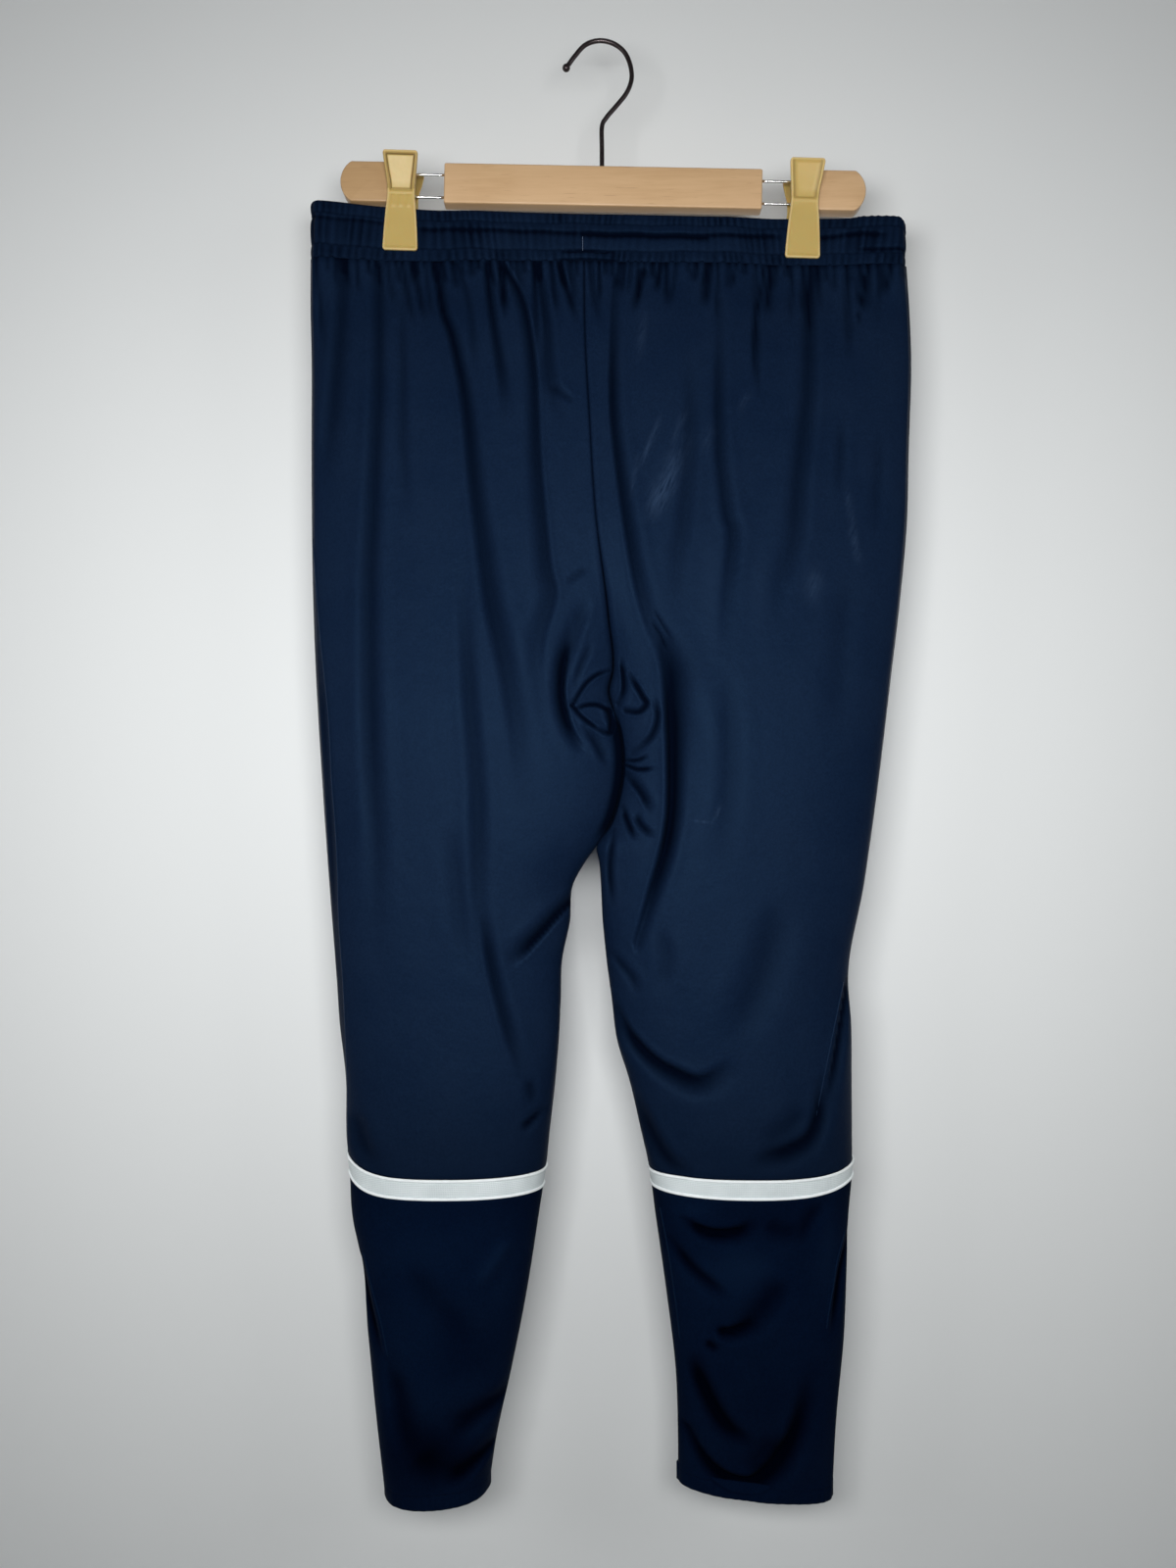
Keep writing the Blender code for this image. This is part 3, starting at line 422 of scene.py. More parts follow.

# Painted sheen: places where rubbing has left a shine, as soft lighter strokes between two points
Shine = namedtuple("Shine", "start end width strength")
SHINES = table_of(
    Shine,
    ((47, 290), (31, 328), 2, 0.4),
    ((66, 286), (54, 312), 2.4, 0.22),
    ((64, 310), (39, 364), 6.5, 0.36),
    ((57, 334), (38, 368), 6, 0.22),
    ((29, 320), (24, 352), 1.6, 0.25),
    ((113, 272), (106, 287), 3, 0.2),
    ((35, 212), (30, 246), 3, 0.18),
    ((86, 296), (78, 316), 4, 0.18),
    ((186, 342), (192, 376), 2.4, 0.22),
    ((190, 372), (196, 402), 3, 0.32),
    ((163, 406), (158, 430), 6, 0.22),
    ((69, 594), (84, 596), 0.9, 0.4),
    ((85, 595), (91, 582), 0.9, 0.35),
)


# ---------------------------------------------------------------- curves and sections
def ease(value):
    """A soft step from 0 to 1."""
    value = np.clip(value, 0.0, 1.0)
    return value * value * (3.0 - 2.0 * value)


def bell(away, wide=1.0):
    """1 at no distance, falling softly to nothing at about twice the width."""
    return np.exp(-((away / wide) ** 2))


def running(lengths):
    """How far along the end of each length is, from 0."""
    return np.concatenate([[0.0], np.cumsum(lengths)])


def read_table(table, column, at):
    """A column's value at each key, which is a row's first value, on a smooth curve."""
    keys = np.array([row[0] for row in table], float)
    values = np.array([getattr(row, column) for row in table], float)
    slopes = np.gradient(values, keys)
    at = np.clip(np.asarray(at, float), keys[0], keys[-1])
    low = np.clip(np.searchsorted(keys, at, side="right") - 1, 0, len(keys) - 2)
    step = keys[low + 1] - keys[low]
    t = (at - keys[low]) / step
    return (
        values[low] * (1 + 2 * t) * (1 - t) ** 2
        + slopes[low] * step * t * (1 - t) ** 2
        + values[low + 1] * t * t * (3 - 2 * t)
        + slopes[low + 1] * step * t * t * (t - 1)
    )


def smooth_route(points, steps):
    """Points on a smooth curve through the given ones."""
    points = [np.asarray(point, float) for point in points]
    padded = [2 * points[0] - points[1]] + points + [2 * points[-1] - points[-2]]
    smooth = []
    for before, start, end, after in zip(padded, padded[1:], padded[2:], padded[3:]):
        bend = 2 * before - 5 * start + 4 * end - after
        twist = 3 * start - before - 3 * end + after
        for t in np.arange(steps) / steps:
            smooth.append(0.5 * (2 * start + (end - before) * t + bend * t**2 + twist * t**3))
    return np.array(smooth + [points[-1]])


def place_along(path, x, drop):
    """Distance to the right of a path going down, and the share of its length, at each point."""
    best, signed, share = np.full((3, *x.shape), 1e9)
    lengths = np.hypot(*np.diff(path, axis=0).T)
    reached = running(lengths)
    for start, end, length, before in zip(path, path[1:], lengths, reached):
        run = (end - start) / length
        right, below = x - start[0], drop - start[1]
        along = np.clip(right * run[0] + below * run[1], 0, length)
        away = np.hypot(right - run[0] * along, below - run[1] * along)
        side = np.sign(right * run[1] - below * run[0])
        nearer = away < best
        best = np.where(nearer, away, best)
        signed = np.where(nearer, away * side, signed)
        share = np.where(nearer, (before + along) / reached[-1], share)
    return signed, share


def crease_field(creases, x, drop):
    """How far the creases sink the cloth at each point, and the painted shade they leave on it."""
    sink, shade = np.zeros((2, *x.shape))
    for crease in creases:
        path = smooth_route(crease.path, 6)
        reach = CREASE_REACH * max(crease.wide0, crease.wide1)
        low, high = path.min(axis=0) - reach, path.max(axis=0) + reach
        near = (x > low[0]) & (x < high[0]) & (drop > low[1]) & (drop < high[1])
        if not near.any():
            continue
        away, share = place_along(path, x[near], drop[near])
        wide = crease.wide0 + (crease.wide1 - crease.wide0) * share
        across = np.abs(away) / (wide * np.where(away > 0, 1 + crease.lean, 1 - crease.lean))
        strength = crease.head + (1 - crease.head) * ease(share / 0.3)
        strength *= crease.tail + (1 - crease.tail) * ease((1 - share) / 0.4)
        core = bell(across)
        thrown_up = SHOULDER * min(crease.depth, SHOULDER_LIMIT)
        sink[near] += strength * (crease.depth * core - thrown_up * bell(across - 2))
        steepness = np.clip(crease.depth / wide / SHADED_STEEPNESS, -1, 1.5)
        # painted shade at a fold's bottom, a painted highlight on a ridge
        shade[near] += steepness * strength * core**1.2
    return sink, shade


def gathers(side, rng):
    """Short creases that fan down from the waist seam."""
    outer = read_table(OUTSEAMS, side, SEAT_TOP)
    inner = read_table(CENTRE_SEAM, "x", SEAT_TOP)
    low, high = sorted((float(outer), float(inner)))
    made = []
    x = low + rng.uniform(3, 6)
    while x < high - 3:
        length = rng.choice(GATHER_LENGTHS, p=GATHER_SHARES) * rng.uniform(0.8, 1.3)
        slant = rng.uniform(0.0, 0.32) if x < CENTRE_X else rng.uniform(-0.32, 0.06)
        swing = slant * length
        top = float(read_table(WAIST_EDGES, "seam", x))
        middle, foot = (x + swing * 0.35, top + length * 0.5), (x + swing * 0.8, top + length)
        path = ((x, top - 3), middle, foot)
        wide = rng.uniform(1.3, 2.2)
        depth = wide * rng.uniform(0.8, 1.35)
        made.append(Crease(path, wide, wide * 1.5, depth, rng.uniform(-0.35, 0.35), 1))
        x += rng.uniform(3.6, 8.6)
    return tuple(made)


def leg_level(side, face, edges, across, shift=0.0):
    """Drop of a seam round a leg, from its outseam at 0 to its inseam at 1. The back sags."""
    edge = edges[side] if face == "back" else LegEdge(*edges[side][:2])
    fallen = 1 - (1 - across) ** edge.steepness
    hanging = edge.sag * 4 * across * (1 - across)
    return edge.outer + (edge.inner - edge.outer) * fallen + hanging + shift


def clipped(x):
    """1 where a clip holds the waistband flat, 0 away from the clips."""
    from_clip = [np.abs(x - HANGER_CENTRE.x - way * CLIP_PLACE) for way in WAY.values()]
    return 1 - ease((np.minimum(*from_clip) - CLIPPED_HALF_WIDTH) / CLIPPED_REACH)


def waist_depth(x):
    """Depth of the flattened waistband at each x: flatter in the clips, rounded at both ends."""
    from_end = np.minimum(x - OUTSEAMS[0].left, OUTSEAMS[0].right - x)
    inward = 1 - np.clip(from_end / WAIST_END_ROUNDING, 0, 1)
    return (WAIST_DEPTH - (WAIST_DEPTH - CLIPPED_DEPTH) * clipped(x)) * np.sqrt(1 - inward**2)


def section(side, face, across, drop):
    """x and depth of the smooth panel, before its folds."""
    outer = read_table(OUTSEAMS, side, drop)
    seam, inseam = read_table(CENTRE_SEAM, "x", drop), read_table(INSEAMS, side, drop)
    inner = np.where(drop < CROTCH_DROP, seam, inseam)
    inner = inner - np.sign(inner - outer) * HAIRLINE
    x = outer + (inner - outer) * across
    # the seat is one wide tube, which the crotch pinches into two
    seat_shape = (1 - (1 - across) ** ROUNDNESS) ** (1 / ROUNDNESS)
    leg_shape = (1 - np.abs(2 * across - 1) ** ROUNDNESS) ** (1 / ROUNDNESS)
    leg_share = ease(1 + (drop - CROTCH_DROP) / PINCH_HEIGHT)
    depth = read_table(DEPTHS, f"{side}_{face}", drop)
    depth = depth * (seat_shape * (1 - leg_share) + leg_shape * leg_share)
    pressed = CLIPPED_SHARE * clipped(x) * (1 - ease((drop - SEAT_TOP) / CLIPPED_DROP))
    depth = depth * (1 - pressed)
    below_waist = ease((drop - SEAT_TOP) / WAIST_BLEND)
    return x, waist_depth(x) * (1 - below_waist) + depth * below_waist


def cloth_points(name, across, drop, creases):
    """Points of a panel's outer face in millimetres, and the painted shade the folds leave on
    each.
    """
    face, side = name.split("_")[-2:]
    x, depth = section(side, face, across, drop)
    sink, shade = crease_field(creases, x, drop)
    room = FOLD_ROOM * depth + 0.01
    sink = np.where(sink > 0, room * np.tanh(sink / room), sink * np.minimum(1, room / 3))
    if face == "back":
        groove, dark = seam_groove(side, x, drop)
        sink, shade = sink + groove * np.minimum(1, depth / 3), shade + dark
    return np.stack([x, OUT[face] * (depth - sink + SEAM_GAP / 4), -drop], axis=-1), shade


def seam_groove(side, x, drop):
    """The centre-back seam's puckered valley, the cleft below it, the left side seam, and their
    painted shade.
    """
    beside = np.abs(x - read_table(CENTRE_SEAM, "x", drop))
    waves = np.sin(drop * 2 * math.pi / PUCKER_PITCH + 2.0 * np.sin(drop / 23.0))
    valley = (SEAM_GROOVE + PUCKER_HEIGHT * waves) * bell(beside)
    on_seat = drop < CROTCH_DROP - 4
    groove = on_seat * (valley - 0.3 * bell(beside - 3.6, 2.0))
    # painted shade along the centre-back seam
    dark = on_seat * 0.8 * bell(beside, 0.7)
    # painted shadow in the cleft between the legs
    within = ease((drop - CLEFT_TOP) / 12) * (1 - ease((drop - CLEFT_FOOT) / 16))
    reach = CLEFT_WIDTH * (1 if side == "left" else 0.25)
    from_inseam = np.abs(x - read_table(INSEAMS, side, drop))
    dark = dark + 1.2 * within * (1 - ease((from_inseam - reach * 0.5) / reach))
    if side == "left":
        # the valley beside the side seam, with its painted shade
        seam_sink, seam_shade = crease_field((SIDE_VALLEY,), x, drop)
        groove, dark = groove + seam_sink, dark + seam_shade
    return groove, dark


def zone_shade(x, drop):
    """How much darker the broad soft areas are at each point."""
    return sum(z.shade * bell(x - z.x, z.wide) * bell(drop - z.drop, z.tall) for z in ZONES)


def shine_at(x, drop):
    """Strength of the painted sheen at each point of the back, where rubbing made it shine."""
    shine = np.zeros(x.shape)
    for mark in SHINES:
        away, share = place_along(np.array([mark.start, mark.end], float), x, drop)
        ends = ease(share / 0.3) * ease((1 - share) / 0.3)
        shine += mark.strength * (0.25 + 0.75 * ends) * bell(away, mark.width)
    return np.clip(shine, 0, 1)


# ---------------------------------------------------------------- meshes
def link(name, data):
    made = bpy.data.objects.new(name, data)
    bpy.context.scene.collection.objects.link(made)
    return made


def hand_over(piece, node=None):
    """Gives a piece to the frame, in place of the node's solid where it names one."""
    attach(piece, "root")
    if node:
        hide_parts(node)


def grid_piece(name, points, finish, uv, attributes=None, flip=False, around=False, closed=False):
    """A smooth piece through rows of points in millimetres.

    around joins each row's end to its start, and closed joins the last row to the first.
    """
    index = np.arange(points[..., 0].size).reshape(points.shape[:2])
    if around:
        index = np.concatenate([index, index[:, :1]], axis=1)
    if closed:
        index = np.concatenate([index, index[:1]], axis=0)
    quads = np.stack([index[:-1, :-1], index[1:, :-1], index[1:, 1:], index[:-1, 1:]], axis=-1)
    quads = quads.reshape(-1, 4)[:, :: -1 if flip else 1]
    mesh = bpy.data.meshes.new(name)
    mesh.from_pydata((points.reshape(-1, 3) * MM).tolist(), [], quads.tolist())
    corners = (uv.reshape(-1, 2) * MM)[quads.reshape(-1)]
    mesh.uv_layers.new(name="UVMap").data.foreach_set("uv", corners.astype(np.float32).ravel())
    for key, values in (attributes or {}).items():
        attribute = mesh.attributes.new(key, "FLOAT", "POINT")
        attribute.data.foreach_set("value", values.reshape(-1).astype(np.float32))
    mesh.shade_smooth()
    mesh.materials.append(finish)
    mesh.update()
    return link(name, mesh)


def evaluated_mesh(piece):
    """A piece's mesh with its modifiers, or its curve's thickness, worked in."""
    graph = bpy.context.evaluated_depsgraph_get()
    seen = piece.evaluated_get(graph)
    return bpy.data.meshes.new_from_object(seen, preserve_all_data_layers=True, depsgraph=graph)


def apply_modifiers(piece):
    """Bakes a piece's modifiers into its mesh."""
    baked, old = evaluated_mesh(piece), piece.data
    piece.modifiers.clear()
    piece.data = baked
    baked.name = piece.name
    bpy.data.meshes.remove(old)


def even_steps(columns):
    """Shares of the way across a panel, closer together at both seams."""
    even = np.linspace(0, 1, columns + 1)
    return 0.45 * even + 0.55 * (1 - np.cos(np.pi * even)) / 2


def inner_steps(columns):
    """Shares of the way across a panel, closest together towards its inner seam."""
    even = np.linspace(0, 1, columns + 1)
    return even_steps(columns) * (1 - INNER_CROWDING) + INNER_CROWDING * (1 - (1 - even) ** 2.4)


def row_drops(start, end, coarse, *dense):
    """Drops from start to end, a coarse step apart, or less in the ranges (low, high, step)."""
    at = [start]
    while at[-1] < end:
        steps = [fine for low, high, fine in dense if low <= at[-1] < high]
        at.append(at[-1] + min([coarse] + steps))
    at = np.array(at)
    return start + (at - start) * (end - start) / (at[-1] - start)


def arc_uv(points):
    """Width along each row and drop, so a knit runs straight down the panel."""
    widths = np.hypot(np.diff(points[..., 0], axis=1), np.diff(points[..., 1], axis=1))
    u = np.concatenate([np.zeros((len(points), 1)), np.cumsum(widths, axis=1)], axis=1)
    return np.stack([u, points[..., 2]], axis=-1)


def room_at(points):
    """How much of a small detail the cloth has depth for: less beside the seams."""
    return np.minimum(1, np.abs(points[..., 1]) / 4)


def finish_panel(name, points, shade, finish):
    """Makes a panel from its outer face, with its wall, its painted shade and sheen, and its seam
    lines.
    """
    face, side = name.split("_")[-2:]
    x, drop = points[..., 0], -points[..., 2]
    shine = np.zeros(x.shape)
    if face == "back":
        # painted shade of the broad soft areas, and painted sheen, on the back
        shade, shine = shade + zone_shade(x, drop), shine_at(x, drop)
    attributes = {"painted_shading": np.clip(shade, -1, 1), "shine": shine}
    flip = (side == "right") != (face == "front")
    piece = grid_piece(f"{name}_cloth", points, finish, arc_uv(points), attributes, flip=flip)
    solid = piece.modifiers.new("wall", "SOLIDIFY")
    solid.thickness = CLOTH_WALL * MM
    solid.offset = -1.0
    apply_modifiers(piece)
    hand_over(piece, name)
    lines = [line for line in SEAM_LINES if line.panel == name]
    edges = [seam_line(f"{name}_seam_{n}", line, finish) for n, line in enumerate(lines, 1)]


def seam_line(name, line, finish):
    """The pale edge of a seam: a low ridge along a path that lies on its panel, with a painted
    highlight.
    """
    path = smooth_route(line.path, 8)
    ahead = np.gradient(path, axis=0)
    right = np.stack([ahead[:, 1], -ahead[:, 0]], axis=1) / np.linalg.norm(ahead, axis=1)[:, None]
    side = line.panel.split("_")[-1]
    rows = []
    for beside, lift in ((-0.6, -0.1), (-0.3, 0.3), (0, 0.4), (0.3, 0.3), (0.6, -0.1), (0, -0.5)):
        x, drop = (path + right * beside).T
        outer, inner = read_table(OUTSEAMS, side, drop), read_table(INSEAMS, side, drop)
        across = (x - outer) / (inner - outer)
        points, _ = cloth_points(line.panel, across, drop, CREASES[line.panel])
        points[:, 1] -= lift
        rows.append(points)
    points = np.array(rows).transpose(1, 0, 2)
    shape = points.shape[:2]
    # negative painted shading: a painted highlight along the seam's edge
    attributes = {"painted_shading": np.full(shape, -0.6), "shine": np.zeros(shape)}
    piece = grid_piece(name, points, finish, points[..., [0, 2]], attributes, around=True)
    close_ends(piece, shape[1])
    hand_over(piece)
    return piece.name


def close_ends(piece, sides):
    """Caps a tube's open ends and turns its faces outwards."""
    bm = bmesh.new()
    bm.from_mesh(piece.data)
    bmesh.ops.holes_fill(bm, edges=[edge for edge in bm.edges if edge.is_boundary], sides=sides)
    settle_faces(bm, piece.data)


def settle_faces(bm, mesh):
    """Turns a built shape's faces outwards and puts it in the mesh."""
    bmesh.ops.recalc_face_normals(bm, faces=bm.faces)
    bm.to_mesh(mesh)
    bm.free()


def upper_panel(face, side, finish, rng):
    """A panel from the waist seam to the calf band."""
    name = f"{face}_{side}"
    across = (inner_steps if face == "back" else even_steps)(COLUMNS[face])
    coarse, fine = ROW_STEPS[face]
    busy = (*BUSY_DROPS, fine)
    seat = row_drops(SEAT_TOP, CROTCH_DROP, coarse, (SEAT_TOP, 212, 1.5), busy)
    thigh = row_drops(CROTCH_DROP, THIGH_FOOT, coarse, busy, (848, THIGH_FOOT, 1.2))
    x = section(side, face, across, np.full(across.shape, SEAT_TOP))[0]
    top = read_table(WAIST_EDGES, "seam", x) - 1.0
    foot = leg_level(side, face, BAND_TOP, across, -SEAM_GAP / 2)
    seat_share = (seat[:-1, None] - SEAT_TOP) / (CROTCH_DROP - SEAT_TOP)
    thigh_share = (thigh[:, None] - CROTCH_DROP) / (thigh[-1] - CROTCH_DROP)
    drop = np.concatenate(
        [top + seat_share * (CROTCH_DROP - top), CROTCH_DROP + thigh_share * (foot - CROTCH_DROP)]
    )
    across = np.broadcast_to(across, drop.shape)
    points, shade = cloth_points(name, across, drop, CREASES[name] + gathers(side, rng))
    # the panel dips into its seams with the waistband and the calf band
    at_top = bell(drop - top, 2.4)
    points[..., 1] -= OUT[face] * (0.8 * bell(drop - foot, 2.2) + 1.1 * at_top) * room_at(points)
    # the seam with the waistband also gets painted shade
    finish_panel(name, points, shade + 0.3 * at_top, finish)


def calf_panel(face, side, finish):
    """A panel from the calf band to the turned-up hem, whose edge folds in and up."""
    name = f"calf_{face}_{side}"
    across = even_steps(COLUMNS[face])
    top = leg_level(side, face, BAND_FOOT, across, SEAM_GAP / 2)
    foot = leg_level(side, face, HEM, across)
    shares = np.append(np.linspace(0, HEM_SHARE, 84), np.linspace(HEM_SHARE + 0.003, 1, 24))
    drop = top + shares[:, None] * (foot - top)
    points, shade = cloth_points(name, np.broadcast_to(across, drop.shape), drop, CREASES[name])
    above = foot - drop  # height above the hem's edge
    x = points[..., 0]
    layer = 0.45 * ease((HEM_HEIGHT + 0.8 - above) / 1.6)
    stitch_line = 0.5 * bell(above - HEM_STITCHING, 0.9)
    round_off = 0.9 * ease((1.6 - above) / 1.6)
    ripple = np.sin(x * 2 * math.pi / HEM_RIPPLE_PITCH + 1.6 * np.sin(x / 9.0))
    ripple = HEM_RIPPLE * ripple * ease((HEM_HEIGHT + 4 - above) / 8)
    points[..., 1] += OUT[face] * (layer - stitch_line - round_off + ripple) * room_at(points)
    inward = []
    for back, rise in ((1.3, -0.4), (HEM_WALL, 0.0), (HEM_WALL, 4.0), (HEM_WALL, HEM_HEIGHT)):
        row = points[-1].copy()
        row[:, 1] -= OUT[face] * back * room_at(row)
        row[:, 2] += rise
        inward.append(row)
    points = np.concatenate([points, np.array(inward)])
    shade = np.concatenate([shade, np.zeros((len(inward), shade.shape[1]))])
    finish_panel(name, points, shade, finish)


def ring_normals(points):
    """Normals, in the horizontal plane, of a ring of points, anticlockwise seen from above."""
    ahead = np.roll(points, -1, axis=0) - np.roll(points, 1, axis=0)
    normals = np.stack([ahead[:, 1], -ahead[:, 0], np.zeros(len(points))], axis=1)
    return normals / np.linalg.norm(normals, axis=1)[:, None]


def ring_lengths(ring):
    closed = np.concatenate([ring, ring[:1]])
    return running(np.linalg.norm(np.diff(closed, axis=0), axis=1))


def leg_ring(side, edges, shift):
    """A ring of points round a leg at one of its seams, anticlockwise seen from above."""
    halves = []
    across = even_steps(BAND_COLUMNS)
    for face in OUT:
        name = f"{face}_{side}"
        drop = leg_level(side, face, edges, across, shift)
        points, _ = cloth_points(name, across, drop, CREASES[name] + CREASES[f"calf_{name}"])
        points[[0, -1], 1] = 0.0
        halves.append(points)
    loop = np.concatenate([halves[0], halves[1][-2:0:-1]])
    return loop if side == "left" else loop[::-1]


def calf_band(side, mesh_cloth, piping_cloth):
    """The mesh band round a leg and the two pipings along its edges."""
    top = leg_ring(side, BAND_TOP, SEAM_GAP / 2)
    foot = leg_ring(side, BAND_FOOT, -SEAM_GAP / 2)
    normals = (ring_normals(top) + ring_normals(foot)) / 2
    lengths = ring_lengths(top)
    outer = [(share, 0.25 * math.sin(math.pi * share)) for share in np.linspace(0.06, 0.94, 9)]
    inner = [(share, -BAND_WALL) for share in (0.94, 0.5, 0.06)]
    points = np.array([top + at * (foot - top) + normals * out for at, out in outer + inner])
    u = np.broadcast_to(lengths[:-1], points.shape[:2])
    uv = np.stack([u, points[..., 2]], axis=-1)
    name = f"calf_band_{side}_mesh"
    band = grid_piece(name, points, mesh_cloth, uv, around=True, closed=True)
    hand_over(band, f"calf_band_{side}")
    turns = np.linspace(0, 2 * math.pi, 10, endpoint=False)[::-1]
    for level, ring, shift in (("upper", top, -0.7), ("lower", foot, 0.7)):
        rolls = []
        for turn in turns:
            up = np.array([0, 0, shift + PIPING_RADIUS * math.sin(turn)])
            rolls.append(ring + normals * (0.35 + PIPING_RADIUS * 0.8 * math.cos(turn)) + up)
        points = np.array(rolls)
        uv = np.stack(np.broadcast_arrays(lengths[:-1], turns[:, None] * 2), axis=-1)
        name = f"piping_{level}_{side}"
        piping = grid_piece(name, points, piping_cloth, uv, around=True, closed=True)
        hand_over(piping)


# ---------------------------------------------------------------- waistband
Channel = namedtuple("Channel", "top foot puff pitch")
CHANNELS = table_of(Channel, (0, 0.235, 0.9, 4.8), (0.235, 0.775, 1.2, 6.4), (0.775, 1, 0.7, 5.6))
MIDDLE_CHANNEL = 1
# Rolls are grooves that run along the band's back, with painted shade in them: levels are shares
# of its height
Roll = namedtuple("Roll", "x0 level0 x1 level1 depth wide")
ROLLS = table_of(
    Roll,
    (-136, 0.37, -14, 0.41, 1.3, 0.040),
    (-14, 0.42, 84, 0.44, 2.3, 0.050),
    (70, 0.42, 136, 0.38, 1.5, 0.045),
    (166, 0.42, 190, 0.34, 1.4, 0.045),
    (184, 0.34, 216, 0.39, 1.4, 0.045),
    (200, 0.69, 236, 0.68, 1.5, 0.030),
    (-221, 0.30, -150, 0.29, 0.9, 0.030),
    (-26, 0.785, 8, 0.785, 2.0, 0.022),
    (-30, 0.96, 10, 0.965, 2.2, 0.030),
)
RIB_HEIGHT = 1.05
ROW_DEPTH = 0.9


def waist_loop():
    """Plan of the waistband: evenly spaced points round a flattened loop, anticlockwise."""
    left, right = OUTSEAMS[0].left, OUTSEAMS[0].right
    turn = (1 - np.cos(np.linspace(0, np.pi, 900))) / 2
    x = left + (right - left) * turn
    depth = waist_depth(x)
    back, front = np.stack([x, -depth], axis=1), np.stack([x, depth], axis=1)
    plan = np.concatenate([back, front[-2:0:-1]])
    lengths = ring_lengths(plan)
    at = np.arange(WAIST_COLUMNS) / WAIST_COLUMNS * lengths[-1]
    closed = np.concatenate([plan, plan[:1]])
    return np.stack([np.interp(at, lengths, values) for values in closed.T], axis=1), at


def rib_table(whole, pitch, rng):
    """Uneven crests and valleys along the band: their places and heights, 1 on a crest."""
    places = [0.0]
    while places[-1] < whole - pitch:
        places.append(places[-1] + pitch * rng.uniform(0.28, 0.72))
    ranges = ((0.0, 0.3), (0.55, 1.0))
    heights = [rng.uniform(*ranges[number % 2]) for number in range(len(places))]
    return np.array(places + [whole]), np.array(heights + [heights[0]])


def read_ribs(table, at):
    """Height at each place along the band, from 0 in a valley to 1 on a crest."""
    places, heights = table
    step = np.clip(np.searchsorted(places, at, side="right") - 1, 0, len(places) - 2)
    share = ease((at - places[step]) / (places[step + 1] - places[step]))
    return heights[step] + (heights[step + 1] - heights[step]) * share


def roll_grooves(x, share):
    """How deep the rolls cut into the band's back."""
    sunk = np.zeros(len(x))
    for roll in ROLLS:
        along = (x - roll.x0) / (roll.x1 - roll.x0)
        level = roll.level0 + (roll.level1 - roll.level0) * along + 0.008 * np.sin(x / 5.5)
        ends = ease((x - roll.x0 + 6) / 12) * ease((roll.x1 + 6 - x) / 12)
        wide = roll.wide * np.where(share > level, 1.6, 0.7)
        sunk = np.maximum(sunk, roll.depth * ends * bell(share - level, wide))
    return sunk


def channel_row(share, at, whole, tables, smooth_part):
    """How deep the band lies on one row, its ribs, and the painted shade of the stitching between
    them.
    """
    leaning = at + 5.0 * np.sin(at / 31.0) * (share - 0.5)
    swing = 0.013 * np.sin(at / 6.3) + 0.012 * np.sin(at / 15.0)
    level = share + swing * math.sin(math.pi * share)
    sunk = np.full(len(at), ROW_DEPTH)
    ribs, shade = np.zeros((2, len(at)))
    for number, (channel, table) in enumerate(zip(CHANNELS, tables)):
        inside = np.clip((level - channel.top) / (channel.foot - channel.top), 0, 1)
        middle = np.sin(np.pi * inside) ** 0.6
        uneven = 0.68 + 0.32 * np.sin(at / 23.0 + 2 * number) * np.sin(at / 9.7 + number)
        height = RIB_HEIGHT * uneven * (1 - 0.6 * smooth_part * (number == MIDDLE_CHANNEL))
        rib = height * (0.45 + 0.55 * middle) * (1 - read_ribs(table, leaning % whole))
        here = (level > channel.top) & (level < channel.foot)
        ribs = np.where(here, rib, ribs)
        sunk = np.where(here, ROW_DEPTH - channel.puff * middle, sunk)
        shade = np.maximum(shade, 0.4 * bell(level - channel.foot, 0.02))
    return sunk, ribs, shade


